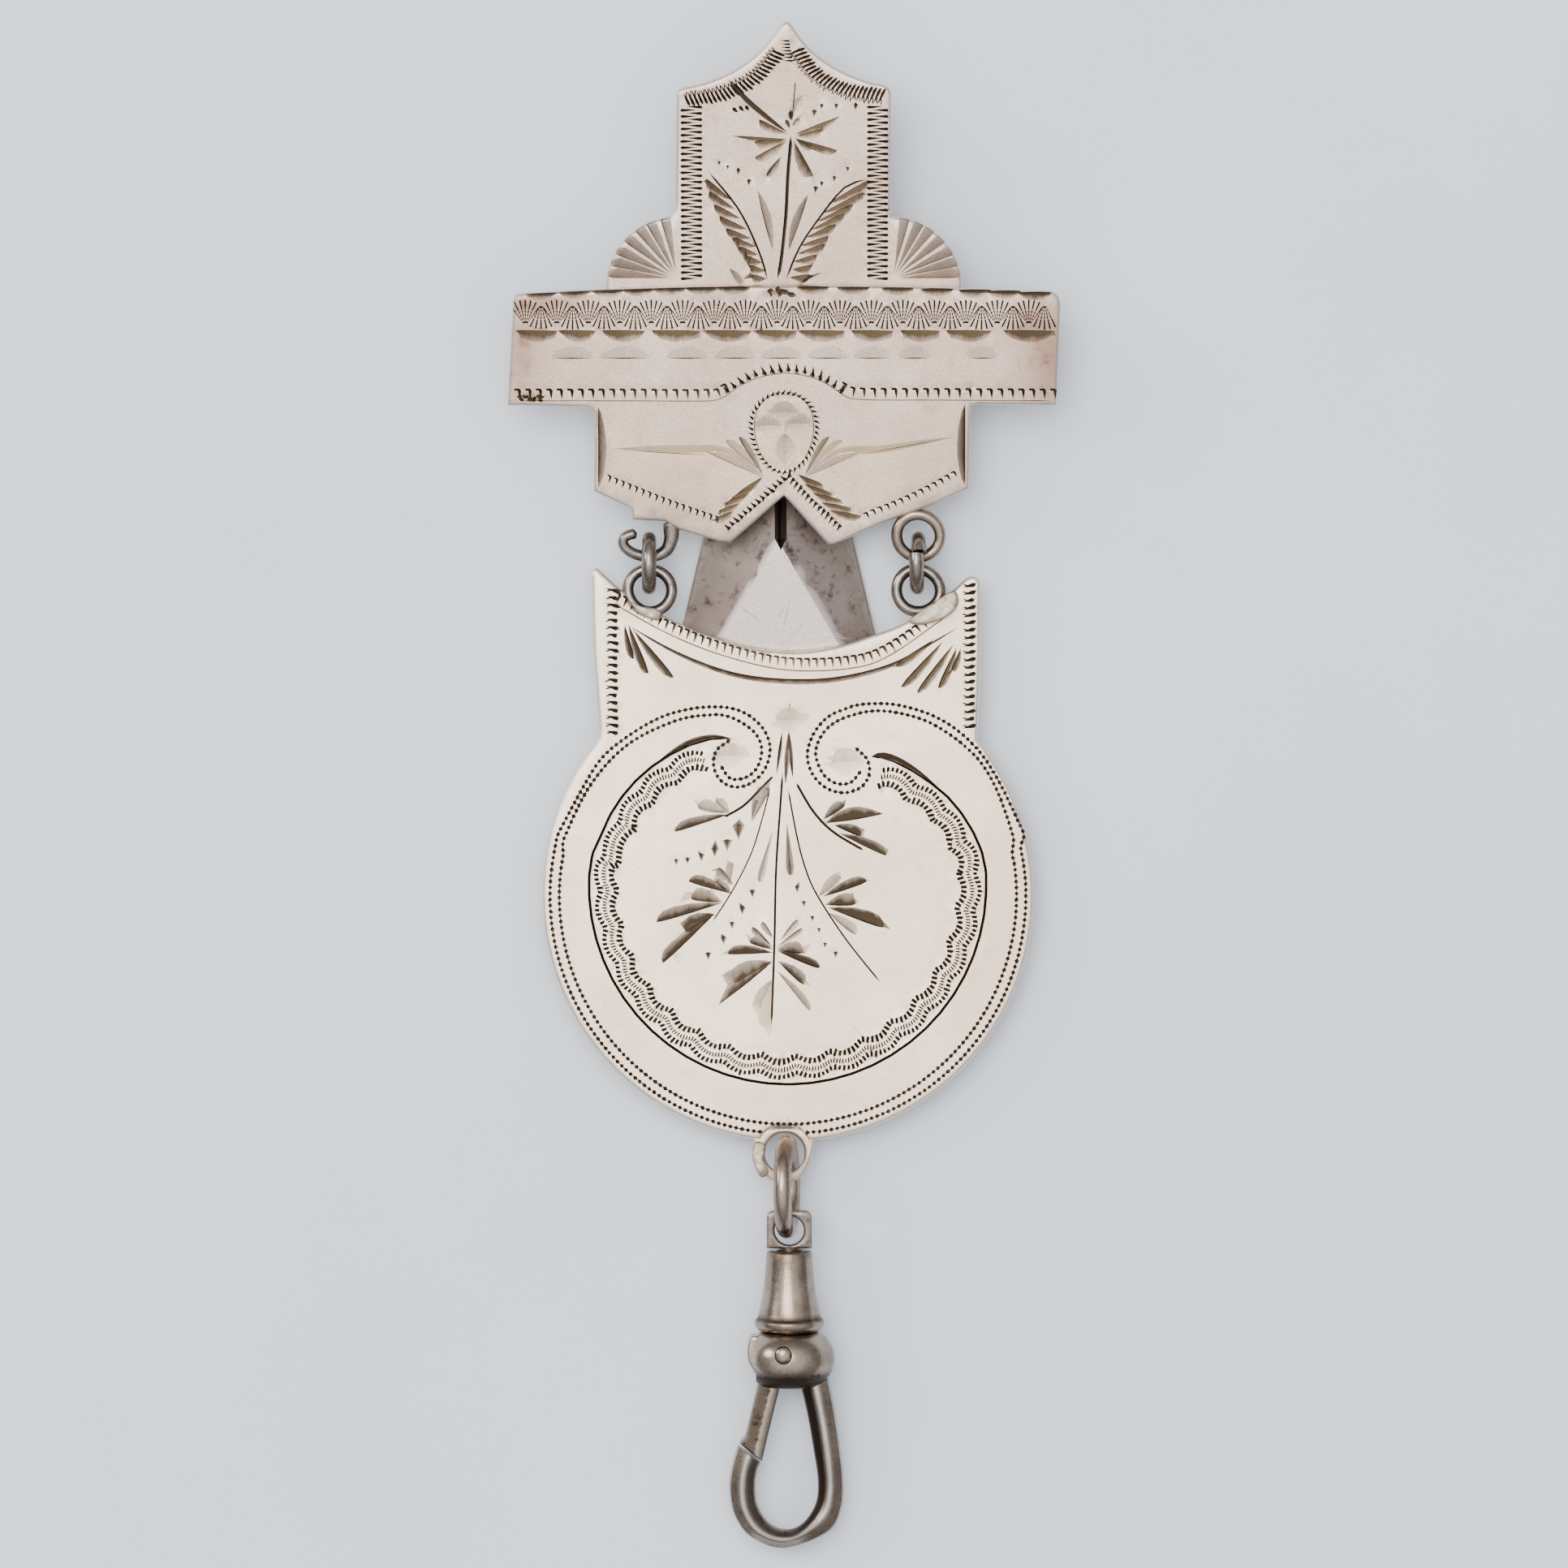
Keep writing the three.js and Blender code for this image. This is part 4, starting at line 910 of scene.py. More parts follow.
# three rows of nicks in a scalloped band against the groove
inside = curve(curve(grooveLine, 420)[14:-6], 700)
_, inwards = sidesOf(inside)
wave = np.abs(np.sin(np.linspace(0, pendant["waves"] * math.pi, 700)))[:, None]
for deep, swing, pitch, length, width, tone in pendant["band"]:
    band = inside + inwards * (deep + swing * (1 - wave))
    pendantCuts += acrossRow(band[::3], pitch, length, width, 0.08, 8, dark=tone)
# flat discs at the scrolls' hearts and over the spray
pendantCuts += discs([(-4.1, 2.15, 0.97), (4.65, 1.7, 1.05), (0.36, 4.8, 0.96)])
pendantCuts.append(cut([(0.42, 6.2), (0.42, 5.6)], 0.1, 0.06, "diamond", 1.5))
# spray: stems and long drops from the disc
for stem, width in (([(-0.1, 0.9), (-0.3, -2), (-0.6, -6.5), (-0.72, -12), (-0.95, -18.2)], 0.17),
                    ([(-1.05, -0.4), (-1.75, -3), (-2.5, -5.3), (-3.86, -8), (-5.4, -10.4)], 0.11),
                    ([(0.3, -0.3), (0.9, -3.6), (1.5, -6), (2.4, -8.2), (4.6, -11.6), (7.3, -15)], 0.13),
                    ([(-0.8, 0.6), (-1.6, -0.2), (-3, -1.6), (-4.5, -2.5)], 0.2),
                    ([(0.9, 0.1), (2.2, -2.06), (3.7, -3.6), (6, -5)], 0.2)):
    pendantCuts.append(cut(stem, width, 0.07, "line", 0.95, 26))
strokes = [
    # base, tip, width, lean, tone, shape
    ((-0.15, 4.0), (-0.58, 0.7), 0.28, 0.3, 0.9, "leaf"), ((0.36, 4.0), (0.1, -0.1), 0.42, 0, 0.75, "leaf"),
    ((0.36, 4.0), (0.67, 0.4), 0.34, 0, 0.8, "leaf"), ((0.2, -2.8), (0.5, -6.9), 0.62, 0, 0.6, "drop"),
    ((-0.8, -3.3), (-1.85, -7.4), 0.55, 0, 0.35, "drop"),
    ((-1.05, -0.4), (-2.4, -2.9), 1.0, -0.85, 0.6, "wedge"),
    ((-2.0, -1.2), (-2.45, -2.8), 0.6, -0.3, 0.6, "wedge"),
    # upper pairs
    ((-4.15, -2.3), (-8.2, -3.6), 0.72, -0.85, 0.8, "petal"),
    ((-4.2, -2.2), (-6.5, -1.7), 0.95, -0.5, 0.45, "petal"),
    ((-4.1, -2.2), (-5.1, -1.2), 0.7, -0.4, 0.3, "petal"),
    ((2.95, -2.7), (4.6, -1.55), 0.75, 0.6, 0.7, "petal"),
    ((3.1, -2.95), (7.5, -2.25), 1.0, 0.8, 0.9, "leaf"), ((3.75, -3.1), (5.8, -3.9), 0.72, 0.7, 0.9, "petal"),
    ((4.1, -3.7), (7.7, -5.4), 0.72, 0.8, 0.9, "petal"),
    # middle groups
    ((-3.8, -7.6), (-4.95, -6.3), 0.75, 0.5, 0.6, "petal"),
    ((-4.1, -7.5), (-3.9, -5.9), 0.6, 0.5, 0.35, "petal"),
    ((-4.0, -8.25), (-7.2, -7.3), 0.8, -0.8, 0.85, "petal"),
    ((-4.0, -8.2), (-5.1, -7.3), 0.7, -0.5, 0.6, "petal"),
    ((-4.63, -8.95), (-9.6, -10.4), 0.85, -0.8, 0.85, "petal"),
    ((-4.63, -8.9), (-7.0, -8.6), 1.05, -0.7, 0.7, "petal"),
    ((-5.27, -9.85), (-9.15, -13.5), 0.8, -0.8, 0.8, "petal"),
    ((-5.2, -9.8), (-7.3, -11.1), 1.1, -0.7, 0.95, "petal"),
    ((2.6, -8.5), (4.3, -7.0), 0.8, 0.5, 0.35, "petal"),
    ((2.9, -8.5), (6.25, -7.3), 0.75, 0.7, 0.85, "petal"), ((3.1, -9.1), (5.4, -9.0), 1.0, 0.7, 0.8, "petal"),
    ((3.3, -9.3), (7.5, -10.8), 0.95, 0.75, 1.05, "petal"),
    ((3.35, -9.7), (5.45, -11.3), 0.75, 0.5, 0.4, "petal"),
    # foot of the spray
    ((-0.8, -11.6), (-1.65, -10.35), 0.45, 0.4, 0.55, "petal"),
    ((-0.87, -12.25), (-2.4, -10.75), 0.5, 0.4, 0.65, "petal"),
    ((-0.5, -12.25), (1.4, -10.85), 0.42, -0.3, 0.55, "petal"),
    ((-0.3, -11.8), (1.05, -10.2), 0.5, -0.3, 0.5, "petal"),
    ((-0.8, -12.7), (-4.25, -12.8), 0.72, -0.85, 0.95, "petal"),
    ((-0.85, -12.45), (-2.6, -11.85), 0.75, -0.6, 0.7, "petal"),
    ((-0.56, -12.55), (2.7, -13.85), 0.62, 0.6, 0.95, "petal"),
    ((-0.5, -12.5), (1.4, -12.7), 0.95, 0.75, 0.7, "petal"),
    ((-0.87, -13.4), (-4.95, -16.65), 1.0, -0.85, 0.75, "leaf"),
    ((-0.87, -13.35), (-3.75, -15.0), 1.25, -0.8, 0.75, "petal"),
    ((-0.5, -13.3), (1.5, -15.1), 0.8, 0.7, 0.75, "petal"),
    ((-0.6, -14.0), (1.95, -17.1), 0.55, 0.8, 0.55, "petal"),
    ((-0.85, -14.75), (-1.0, -18.5), 1.1, -0.9, 0.28, "petal"),
    ((-0.9, -14.7), (-1.9, -16.9), 0.9, -0.5, 0.35, "petal"),
]
for base, tip, width, lean, tone, shape in strokes:
    pendantCuts.append(cut([base, tip], width, 0.11 if width > 0.5 else 0.08, shape, tone, lean=lean))
for x, y, width in [(-3.42, -3.55, 0.95), (-4.26, -4.55, 0.75), (-5.2, -5.1, 0.58), (-6.2, -5.5, 0.5),
                    (-7.25, -5.75, 0.42), (-8.1, -5.85, 0.4), (-2.37, -8.2, 0.5), (-3.13, -9.5, 0.48),
                    (-3.9, -10.6, 0.45), (-4.55, -11.75, 0.48), (-5.7, -12.9, 0.48), (1.0, -7.9, 0.4),
                    (1.5, -9.0, 0.4), (2.15, -10.1, 0.36), (2.65, -11.0, 0.34), (3.1, -12.1, 0.34),
                    (3.9, -12.8, 0.4)]:
    pendantCuts.append(cut([(x, y + width * 0.55), (x, y - width * 0.7)], width, 0.08, "tooth", 0.85))
pendantCuts += scratches(26, (-14, 14), (-22, 4), (0.5, 2.6), 0.05, 0.008, 0.12)
lowerX, lowerY = ring["lowerPlace"]
pendantSolid, pendantFlat, pendantMarks = engravedPlate(
    pendantOutline, wavy(pendant["underside"] + pendant["thickness"], size=0.010), lambda x,
    y: pendant["underside"] + 0 * x, pendantCuts,
    [((lowerX, lowerY), ring["bore"]), ((-lowerX, lowerY), ring["bore"]), ((0, -27.7), 2.0)],
    rim=pendant["rim"])
pendantMarks["gilt"] = stained(pendantSolid[0], [(-8, -7, 5, 5, 0.35), (-9, -14, 4, 3, 0.3),
                                                 (-1.2, -17, 0.7, 1.8, 0.9), (0, 12, 14, 3, 0.2)])
away = np.hypot(pendantSolid[0][:, 0] - grooveCentre[0], pendantSolid[0][:, 1] - grooveCentre[1])
lowerBand = 0.16 * ((away > 15.1) & (pendantSolid[0][:, 1] < -4))
pendantMarks["stainAndShade"] = np.maximum(lowerBand, stained(pendantSolid[0], [
    (0, -26, 6, 1.4, 0.35), (-16.5, -12, 1.6, 8, 0.22), (16.8, -12, 1.6, 8, 0.22), (11, 13, 2.2, 1.2, 0.55),
    (-11, 13.6, 2, 1.0, 0.6), (0, -23.6, 9, 0.8, 0.25), (-4.1, 2.95, 0.6, 0.18, 0.8),
    (4.4, 2.5, 0.7, 0.2, 0.9), (0.36, 5.5, 0.7, 0.22, 0.9)]))
addPiece("pendant_plate_look", pendantSolid, "pendant", ["pendant_plate"], pendantSilver,
         pendantFlat, marks=pendantMarks)
print("pendant made")


blade = {"x": -0.45, "thickness": 0.8, "neckHalf": 2.4, "shoulderY": 32.5, "taper": 0.234, "wingSlope": 0.35,
         "facetTopY": 18.3,
         "facetSlope": 0.123, "tailY": -3.5, "neckTopY": 48.87, "lowY": 4.0}


def bladeHalf(y):
    return blade["neckHalf"] + blade["taper"] * (blade["shoulderY"] - y)


def bladeTop(x, y):
    # ridge over the middle falling to both wings, with a flat facet cut across it below its apex;
    # the roof fades out into the neck above and the tail below
    fade = np.clip((blade["shoulderY"] + 3 - y) / 4, 0, 1) * np.clip((y - 0.5) / 4, 0, 1)
    roof = np.maximum(blade["wingSlope"] * (bladeHalf(y) - np.abs(x - blade["x"])), 0)
    apex = blade["wingSlope"] * bladeHalf(blade["facetTopY"])
    facet = apex - blade["facetSlope"] * (blade["facetTopY"] - y)
    roof = np.where(y < blade["facetTopY"], np.minimum(roof, facet), roof)
    return blade["thickness"] + fade * np.maximum(roof, 0)


lowHalf = bladeHalf(blade["lowY"])
bladeOutline = np.concatenate([
    [(-1.7, blade["neckTopY"]), (blade["x"] - blade["neckHalf"], blade["shoulderY"])],
    bezier((blade["x"] - lowHalf, blade["lowY"]), (blade["x"] - lowHalf, blade["tailY"]),
           (blade["x"], blade["tailY"]), 18),
    bezier((blade["x"], blade["tailY"]), (blade["x"] + lowHalf, blade["tailY"]),
           (blade["x"] + lowHalf, blade["lowY"]), 18),
    [(blade["x"] + lowHalf, blade["lowY"]), (blade["x"] + blade["neckHalf"], blade["shoulderY"]),
     (1.7, blade["neckTopY"])],
])
facetY = np.linspace(4.5, blade["facetTopY"], 12)
facetDrop = blade["facetSlope"] * (blade["facetTopY"] - facetY)
facetRise = blade["wingSlope"] * bladeHalf(blade["facetTopY"]) - facetDrop
facetHalf = bladeHalf(facetY) - facetRise / blade["wingSlope"]
creases = [np.stack([blade["x"] + side * facetHalf, facetY], 1) for side in (-1, 1)]
ridgeY = np.linspace(blade["facetTopY"], blade["shoulderY"] + 2, 16)
creases.append(np.stack([np.full(16, blade["x"]), ridgeY], 1))
bladeCuts = [cut([(-0.25, 17.6), (-0.25, 24), (-0.2, 31)], 0.9, 0.4, "line", 1.3, 16)]
bladeCuts += scratches(70, (-8, 8), (0, 24), (0.8, 5.0), 0.07, 0.012, 0.25, heading=(1.2, 0.8))
bladeSolid, bladeFlat, bladeMarks = engravedPlate(
    bladeOutline, bladeTop, lambda x, y: np.maximum(bladeTop(x, y) - blade["thickness"], 0), bladeCuts,
    rim=0.15, fill=0.8, creases=creases)
# painted highlight on the facet, and painted shade over the rest of the blade
facetReach = np.abs(bladeSolid[0][:, 0] - blade["x"]) - np.interp(bladeSolid[0][:, 1], facetY, facetHalf)
onFacet = (bladeSolid[0][:, 1] < blade["facetTopY"]) & (facetReach < 0.05)
bladeMarks["stainAndShade"] = np.where(onFacet, 0.0, 0.85)
bladeMarks["rim"] = np.maximum(bladeMarks["rim"], np.where(onFacet, 1.3, 0))
addPiece("waist_blade_look", bladeSolid, "waist_blade", ["waist_blade"], bladeSilver,
         bladeFlat, 14, bladeMarks)

bend = {"thickness": 0.8, "halfWidth": 1.7, "radius": 2.82, "y": 51.5, "flexY": 49.03, "arm": 4.0}
sweep = np.radians(np.linspace(-90, 90 + plaqueLean, 40))
bendLine = np.concatenate([
    [(bend["flexY"], bend["thickness"] / 2), ((bend["flexY"] + bend["y"]) / 2, bend["thickness"] / 2)],
    np.stack([bend["y"] + bend["radius"] * np.cos(sweep),
              bend["thickness"] / 2 + bend["radius"] * (1 + np.sin(sweep))], 1),
])
armWay = np.array([-math.cos(math.radians(plaqueLean)), -math.sin(math.radians(plaqueLean))])
armRun = bend["arm"] * np.linspace(0.25, 0.95, 6)[:, None]
bendLine = np.concatenate([bendLine, bendLine[-1:] + armWay * armRun])
bendPath = np.column_stack([np.zeros(len(bendLine)), bendLine])
addPiece("clip_bend_look", swept(bendPath, (1, 0, 0), bend["thickness"] / 2, bend["halfWidth"], 36, 6.0),
         "plaque", ["clip_bend"],
         bladeSilver, sharp=40)
print("waist clip made")


def splitRing(centre, first, second, radius, wire, gapDegrees, atDegrees, slip=0.0):
    # jump ring with a saw cut: the two ends stand slip apart along the ring's axis
    first, second = np.array(first, float), np.array(second, float)
    t = np.radians(np.linspace(atDegrees + gapDegrees / 2, atDegrees + 360 - gapDegrees / 2, 84))
    axis = np.cross(first, second)
    path = np.array(centre) + radius * (np.cos(t)[:, None] * first + np.sin(t)[:, None] * second)
    path = path + (np.linspace(-0.5, 0.5, 84) * slip)[:, None] * axis
    return swept(path, axis, wire, wire, 20)


upperX, upperY = ring["upperPlace"]
wireLevel = bar["thickness"] / 2
upperRing = torus((upperX, upperY, wireLevel), (0, 0, 1), ring["radius"], ring["wire"], wobble=0.015)
addPiece("upper_right_ring_look", onPlaque(upperRing), "plaque", ["upper_right_ring"],
         swivelSilver)
tornLine = np.array([(1.55, 1.1), (1.62, 0.4), (1.6, -0.3), (1.2, -1.15), (0.1, -1.6), (-1.2, -1.35),
                     (-1.95, -0.75), (-1.85, -0.1), (-0.95, 0.2)])
tornPath = curve(tornLine, 60)
tornPath = np.column_stack([tornPath[:, 0] - upperX, tornPath[:, 1] + upperY, np.full(60, wireLevel)])
swell = np.interp(np.linspace(0, 1, 60), [0, 0.2, 0.4, 1], [1.5, 1.25, 1.0, 0.92])
tornWidth = roundEnds(tornPath, ring["wire"], 0.3) * swell
tornRing = swept(tornPath, (0, 0, 1), tornWidth, np.minimum(tornWidth, 0.5))
addPiece("upper_left_open_ring_look", onPlaque(tornRing), "plaque", ["upper_left_open_ring"],
         ringSilver)
rightPlace, leftPlace = (10.05, *ring["linkPlace"]), (-10.15, *ring["linkPlace"])
rightLink = splitRing(rightPlace, (0, 1, 0), (0, 0, 1), ring["link"], ring["linkWire"], 5, 68, 0.22)
leftLink = torus(leftPlace, (1, 0, 0), ring["link"], ring["linkWire"], wobble=0.01)
addPiece("right_link_look", rightLink, "links", ["right_link"], ringSilver, sharp=50)
addPiece("left_link_look", leftLink, "links", ["left_link"], ringSilver)
lowerLevel = pendant["underside"] + pendant["thickness"] / 2
for name, x in (("lower_right_ring", lowerX), ("lower_left_ring", -lowerX)):
    lowerRing = torus((x, lowerY, lowerLevel), (0, 0, 1), ring["radius"], ring["wire"], wobble=0.02)
    addPiece(name + "_look", lowerRing, "pendant", [name], ringSilver)
lugOutline = curve([(-2.3, -26.3), (-2.25, -27.4), (-2.05, -28.5), (-1.4, -29.55), (-0.5, -29.98),
                    (0.5, -29.95), (1.35, -29.5), (1.95, -28.4), (2.25, -27.3), (2.33, -26.3), (1.2, -25.9),
                    (-1.2, -25.9)], 64, closed=True)
lugSolid, _, lugMarks = engravedPlate(
    lugOutline, wavy(3.2, size=0.02), lambda x, y: 2.32 + 0 * x, (), [((0.05, -27.75), 1.5)],
    rim=0.24, fill=0.35, step=0.3)
lugMarks["gilt"] = stained(lugSolid[0], [(-1.9, -27.6, 0.8, 1.2, 0.9), (0, -26.3, 2.5, 0.5, 0.4)])
lugMarks["stainAndShade"] = stained(lugSolid[0], [(-1.6, -29.2, 0.9, 0.8, 1.1), (1.6, -28.9, 0.8, 0.9, 0.7),
                                          (0, -29.8, 1.2, 0.4, 0.9), (2.2, -26.6, 0.5, 0.5, 0.5)])
addPiece("bottom_lug_ring_look", lugSolid, "pendant", ["bottom_lug_ring"], plaqueSilver,
         sharp=50, marks=lugMarks)
connectorAxis = (0.99452, 0, 0.10453)
connector = torus(ring["connectorPlace"], connectorAxis, ring["connector"], ring["connectorWire"],
                  wobble=0.008)
addPiece("connector_link_look", connector, "connector_link", ["connector_link"], swivelSilver)


def lump(loop, foot, height):
    # solder: a dome that falls with the square of the way from its middle, and uneven ripples on it
    outline = curve(loop, 40, closed=True)
    middle = outline.mean(axis=0)
    reach = np.linalg.norm(outline - middle, axis=1).max()

    def skin(x, y):
        dome = height * (1 - 0.45 * ((x - middle[0]) ** 2 + (y - middle[1]) ** 2) / reach ** 2)
        return foot + dome + 0.05 * np.sin(5.1 * x + 2 * np.sin(3.3 * y)) * np.sin(4.3 * y + 1)
    return engravedPlate(outline, skin, lambda x, y: foot + 0 * x, rim=height * 0.42, fill=0.22, step=0.2)[0]


for name, loop, foot, height in (
        ("lower_right_solder", [(9.4, 12.2), (10.6, 12.0), (12.4, 12.7), (13.1, 13.6), (12.9, 14.5),
                                (12.2, 14.3), (11.3, 13.7), (10.2, 13.0)], 3.42, 0.42),
        ("lower_left_solder", [(-11.0, 12.9), (-9.6, 12.3), (-9.2, 12.8), (-9.7, 13.2), (-10.8, 13.4),
                               (-11.5, 13.7)], 3.42, 0.36),
        ("bottom_lug_solder", [(-2.1, -26.9), (-1.4, -27.2), (-1.5, -28.2), (-1.2, -29.2), (-1.7, -29.6),
                               (-2.2, -28.8), (-2.4, -27.8)], 3.3, 0.34)):
    addPiece(name + "_look", lump(loop, foot, height), "pendant", [name], solderPaint, sharp=60)
print("rings made")


def onClip(solid):
    # from the flat drawing to the leaning swivel clip
    return leaned(solid[0], clipFoot, clipLean), solid[1]


eye = {"half": 1.72, "top": 11.2, "foot": 8.35, "thickness": 1.1, "holeY": 9.7, "hole": 1.1, "shank": 0.75}
eyeOutline = np.concatenate([
    [(-eye["half"], eye["foot"]), (eye["half"], eye["foot"])],
    arc((eye["half"] - 0.55, eye["top"] - 0.55), 0.55, 0, 90, 7),
    arc((-eye["half"] + 0.55, eye["top"] - 0.55), 0.55, 90, 180, 7)])
tab, _, tabMarks = engravedPlate(eyeOutline, lambda x, y: eye["thickness"] / 2 + 0 * x, lambda x,
                                 y: -eye["thickness"] / 2 + 0 * x, (),
                                 [((0, eye["holeY"]), eye["hole"])], rim=0.2, fill=0.4, step=0.3)
shank = turned([(0, 4.4), (1.05, 4.4), (1.25, 4.6), (1.25, 5.0), (1.15, 5.1), (eye["shank"], 5.12),
                (eye["shank"], 8.5), (0, 8.5)], 40)
eyeMarks = {"rim": np.concatenate([tabMarks["rim"], np.zeros(len(shank[0]))]),
            "stainAndShade": np.full(len(tab[0]) + len(shank[0]), 1.0)}
addPiece("swivel_eye_look", onClip(joined(tab, shank)), "swivel_eye", ["swivel_eye"],
         swivelSilver, sharp=40, marks=eyeMarks)

barrelProfile = np.array([(0.95, 8.15), (0.95, 5.25), (1.5, 5.25), (1.75, 3.4), (1.75, 2.15), (2.25, 2.15),
                          (2.4, 2.22), (2.56, 2.42), (2.62, 2.62), (2.62, 2.8), (2.56, 2.95), (2.44, 3.02),
                          (2.38, 3.1), (2.3, 3.5), (2.2, 3.95), (2.09, 4.5), (1.97, 5.2), (1.87, 6.0),
                          (1.8, 6.8), (1.75, 7.5), (1.72, 7.95), (1.66, 8.1), (1.58, 8.15), (0.95, 8.15)])
barrel = turned(barrelProfile, 96)
barrelY = barrel[0][:, 1]
# painted shade: a dark band in the crease over the rim, and a fainter one at the top
barrelMarks = {"stainAndShade": 1.5 * np.exp(-((barrelY - 3.06) / 0.16) ** 2)
               + 0.5 * np.exp(-((barrelY - 8.1) / 0.3) ** 2)}
addPiece("swivel_barrel_look", onClip(barrel), "swivel_clip", ["swivel_barrel"],
         swivelSilver, sharp=45, marks=barrelMarks)


def blockOf(low, high):
    # box between two opposite corners
    x, y, z = np.meshgrid(*zip(low, high), indexing="ij")
    points = np.stack([x.ravel(), y.ravel(), z.ravel()], 1).astype(float)
    triangles = np.array([(0, 1, 3), (0, 3, 2), (4, 6, 7), (4, 7, 5), (0, 4, 5), (0, 5, 1), (2, 3, 7),
                          (2, 7, 6), (0, 2, 6), (0, 6, 4), (1, 5, 7), (1, 7, 3)])
    return points, triangles


def carved(solid, *cutters):
    # the solid with the cutters taken away
    made = []
    for k, (points, triangles) in enumerate((solid, *cutters)):
        corner = points[triangles]
        if np.einsum("ij,ij->i", corner[:, 0], np.cross(corner[:, 1], corner[:, 2])).sum() < 0:
            triangles = triangles[:, ::-1]
        mesh = bpy.data.meshes.new("carving")
        mesh.from_pydata(points.tolist(), [], triangles.tolist())
        made.append(bpy.data.objects.new("carving", mesh))
        scene.collection.objects.link(made[-1])
    for cutter in made[1:]:
        tool = made[0].modifiers.new("cut", "BOOLEAN")
        tool.operation, tool.solver, tool.object = "DIFFERENCE", "EXACT", cutter
    result = made[0].evaluated_get(bpy.context.evaluated_depsgraph_get()).to_mesh()
    points = np.empty(len(result.vertices) * 3)
    result.vertices.foreach_get("co", points)
    result.calc_loop_triangles()
    triangles = np.empty(len(result.loop_triangles) * 3, np.int32)
    result.loop_triangles.foreach_get("vertices", triangles)
    for piece in made:
        bpy.data.objects.remove(piece)
    return points.reshape(-1, 3), triangles.reshape(-1, 3)


ball = {"radius": 3.4, "half": 2.05, "core": 1.05, "pole": 62, "slot": 2.2, "slotTop": 1.95, "slotEnd": 2.1,
        "pin": (-0.45, 0.6), "pinRadius": 0.6}
around = np.radians(np.linspace(-ball["pole"], ball["pole"], 33))
ballProfile = np.column_stack([ball["core"] + (ball["radius"] - ball["core"]) * np.cos(around),
                               ball["half"] * np.sin(around) / math.sin(math.radians(ball["pole"]))])
ballProfile = np.concatenate([[(0, -ball["half"])], ballProfile, [(1.6, ball["half"]), (1.6, 3.3), (0, 3.3)]])
pinBore = turned([(0, -5), (ball["pinRadius"] + 0.06, -5), (ball["pinRadius"] + 0.06, 5), (0, 5)], 40)
pinBore = (np.stack([pinBore[0][:, 0] + ball["pin"][0], -pinBore[0][:, 2] + ball["pin"][1], pinBore[0][:, 1]],
                    1), pinBore[1])
ballSolid = carved(turned(ballProfile, 96), blockOf((-8, -7, -ball["slot"] / 2),
                                                    (ball["slotEnd"], ball["slotTop"], ball["slot"] / 2)),
                   blockOf((-8, -5, -5), (-2.5, 5, 5)), pinBore)
# painted shade: darkest underneath, and a little to both sides
ballX, ballY = ballSolid[0][:, 0], ballSolid[0][:, 1]
ballMarks = {"stainAndShade": 1.7 * np.clip((-0.55 - ballY) / 0.7, 0, 1) + 0.5 * np.clip(np.abs(ballX) - 2.4, 0, 1)}
addPiece("ball_collar_look", onClip(ballSolid), "swivel_clip", ["ball_collar"], swivelSilver,
         sharp=35, marks=ballMarks)

pinHead = [(0.6, 3.2), (0.5, 3.28), (0.3, 3.37), (0, 3.4)]
pin = turned([(radius, -end) for radius, end in reversed(pinHead)] + pinHead, 40)
pin = (np.stack([pin[0][:, 0] + ball["pin"][0], -pin[0][:, 2] + ball["pin"][1], pin[0][:, 1]], 1), pin[1])
addPiece("gate_pin_look", onClip(pin), "swivel_clip", ["gate_pin"], swivelSilver, sharp=50)

# section corners as shares of half width and height: outer slope, rounded ridge, inner slope
hook = {"height": 1.15, "rows": 110, "sides": 36,
        "section": [(1, 0), (0.88, 0.5), (0.2, 0.96), (0.0, 1.0), (-0.2, 0.93), (-0.88, 0.4), (-1, 0),
                    (-0.88, -0.4), (-0.2, -0.93), (0.0, -1.0), (0.2, -0.96), (0.88, -0.5)]}
hookRows, hookSides = hook["rows"], hook["sides"]
innerLine = curve([(0.75, -1.6), (1.35, -4.2), (1.8, -6.8), (2.15, -9.3), (1.95, -11.1), (0.9, -12.6),
                   (-0.4, -12.95), (-1.6, -12.4), (-2.4, -11.1), (-2.55, -9.6), (-2.4, -8.5),
                   (-2.15, -7.9)], hookRows)
outerLine = curve([(3.0, -1.6), (3.45, -4.0), (3.8, -6.4), (4.08, -9.2), (3.95, -11.4), (2.9, -13.2),
                   (-0.4, -14.4), (-2.9, -13.55), (-4.1, -12.0), (-4.5, -10.3), (-4.42, -8.6),
                   (-3.9, -6.6)], hookRows)
# the section goes round its corners in even steps, and is set between the two lines:
# middle + half width * across, height * up
corners = np.array(hook["section"] + hook["section"][:1])
sectionWay = np.arange(hookSides) * (len(corners) - 1) / hookSides
c, s = (np.interp(sectionWay, np.arange(len(corners)), column) for column in corners.T)
middle, halfSpan = (innerLine + outerLine) / 2, (outerLine - innerLine) / 2
flatHook = middle[:, None] + halfSpan[:, None] * c[None, :, None]
hookPoints = np.concatenate([flatHook, np.broadcast_to(hook["height"] * s, (hookRows, hookSides))[..., None]],
                            axis=2).reshape(-1, 3)
n, j = len(hookPoints), np.arange(hookSides)
after, last = (j + 1) % hookSides, (hookRows - 1) * hookSides
hookEnds = np.array([[*middle[0], 0], [*middle[-1], 0]])
hookTriangles = np.concatenate([gridTriangles(hookRows, hookSides),
                                np.stack([np.full(hookSides, n), after, j], 1),
                                np.stack([np.full(hookSides, n + 1), last + j, last + after], 1)])
hookSolid = (np.concatenate([hookPoints, hookEnds]), hookTriangles)
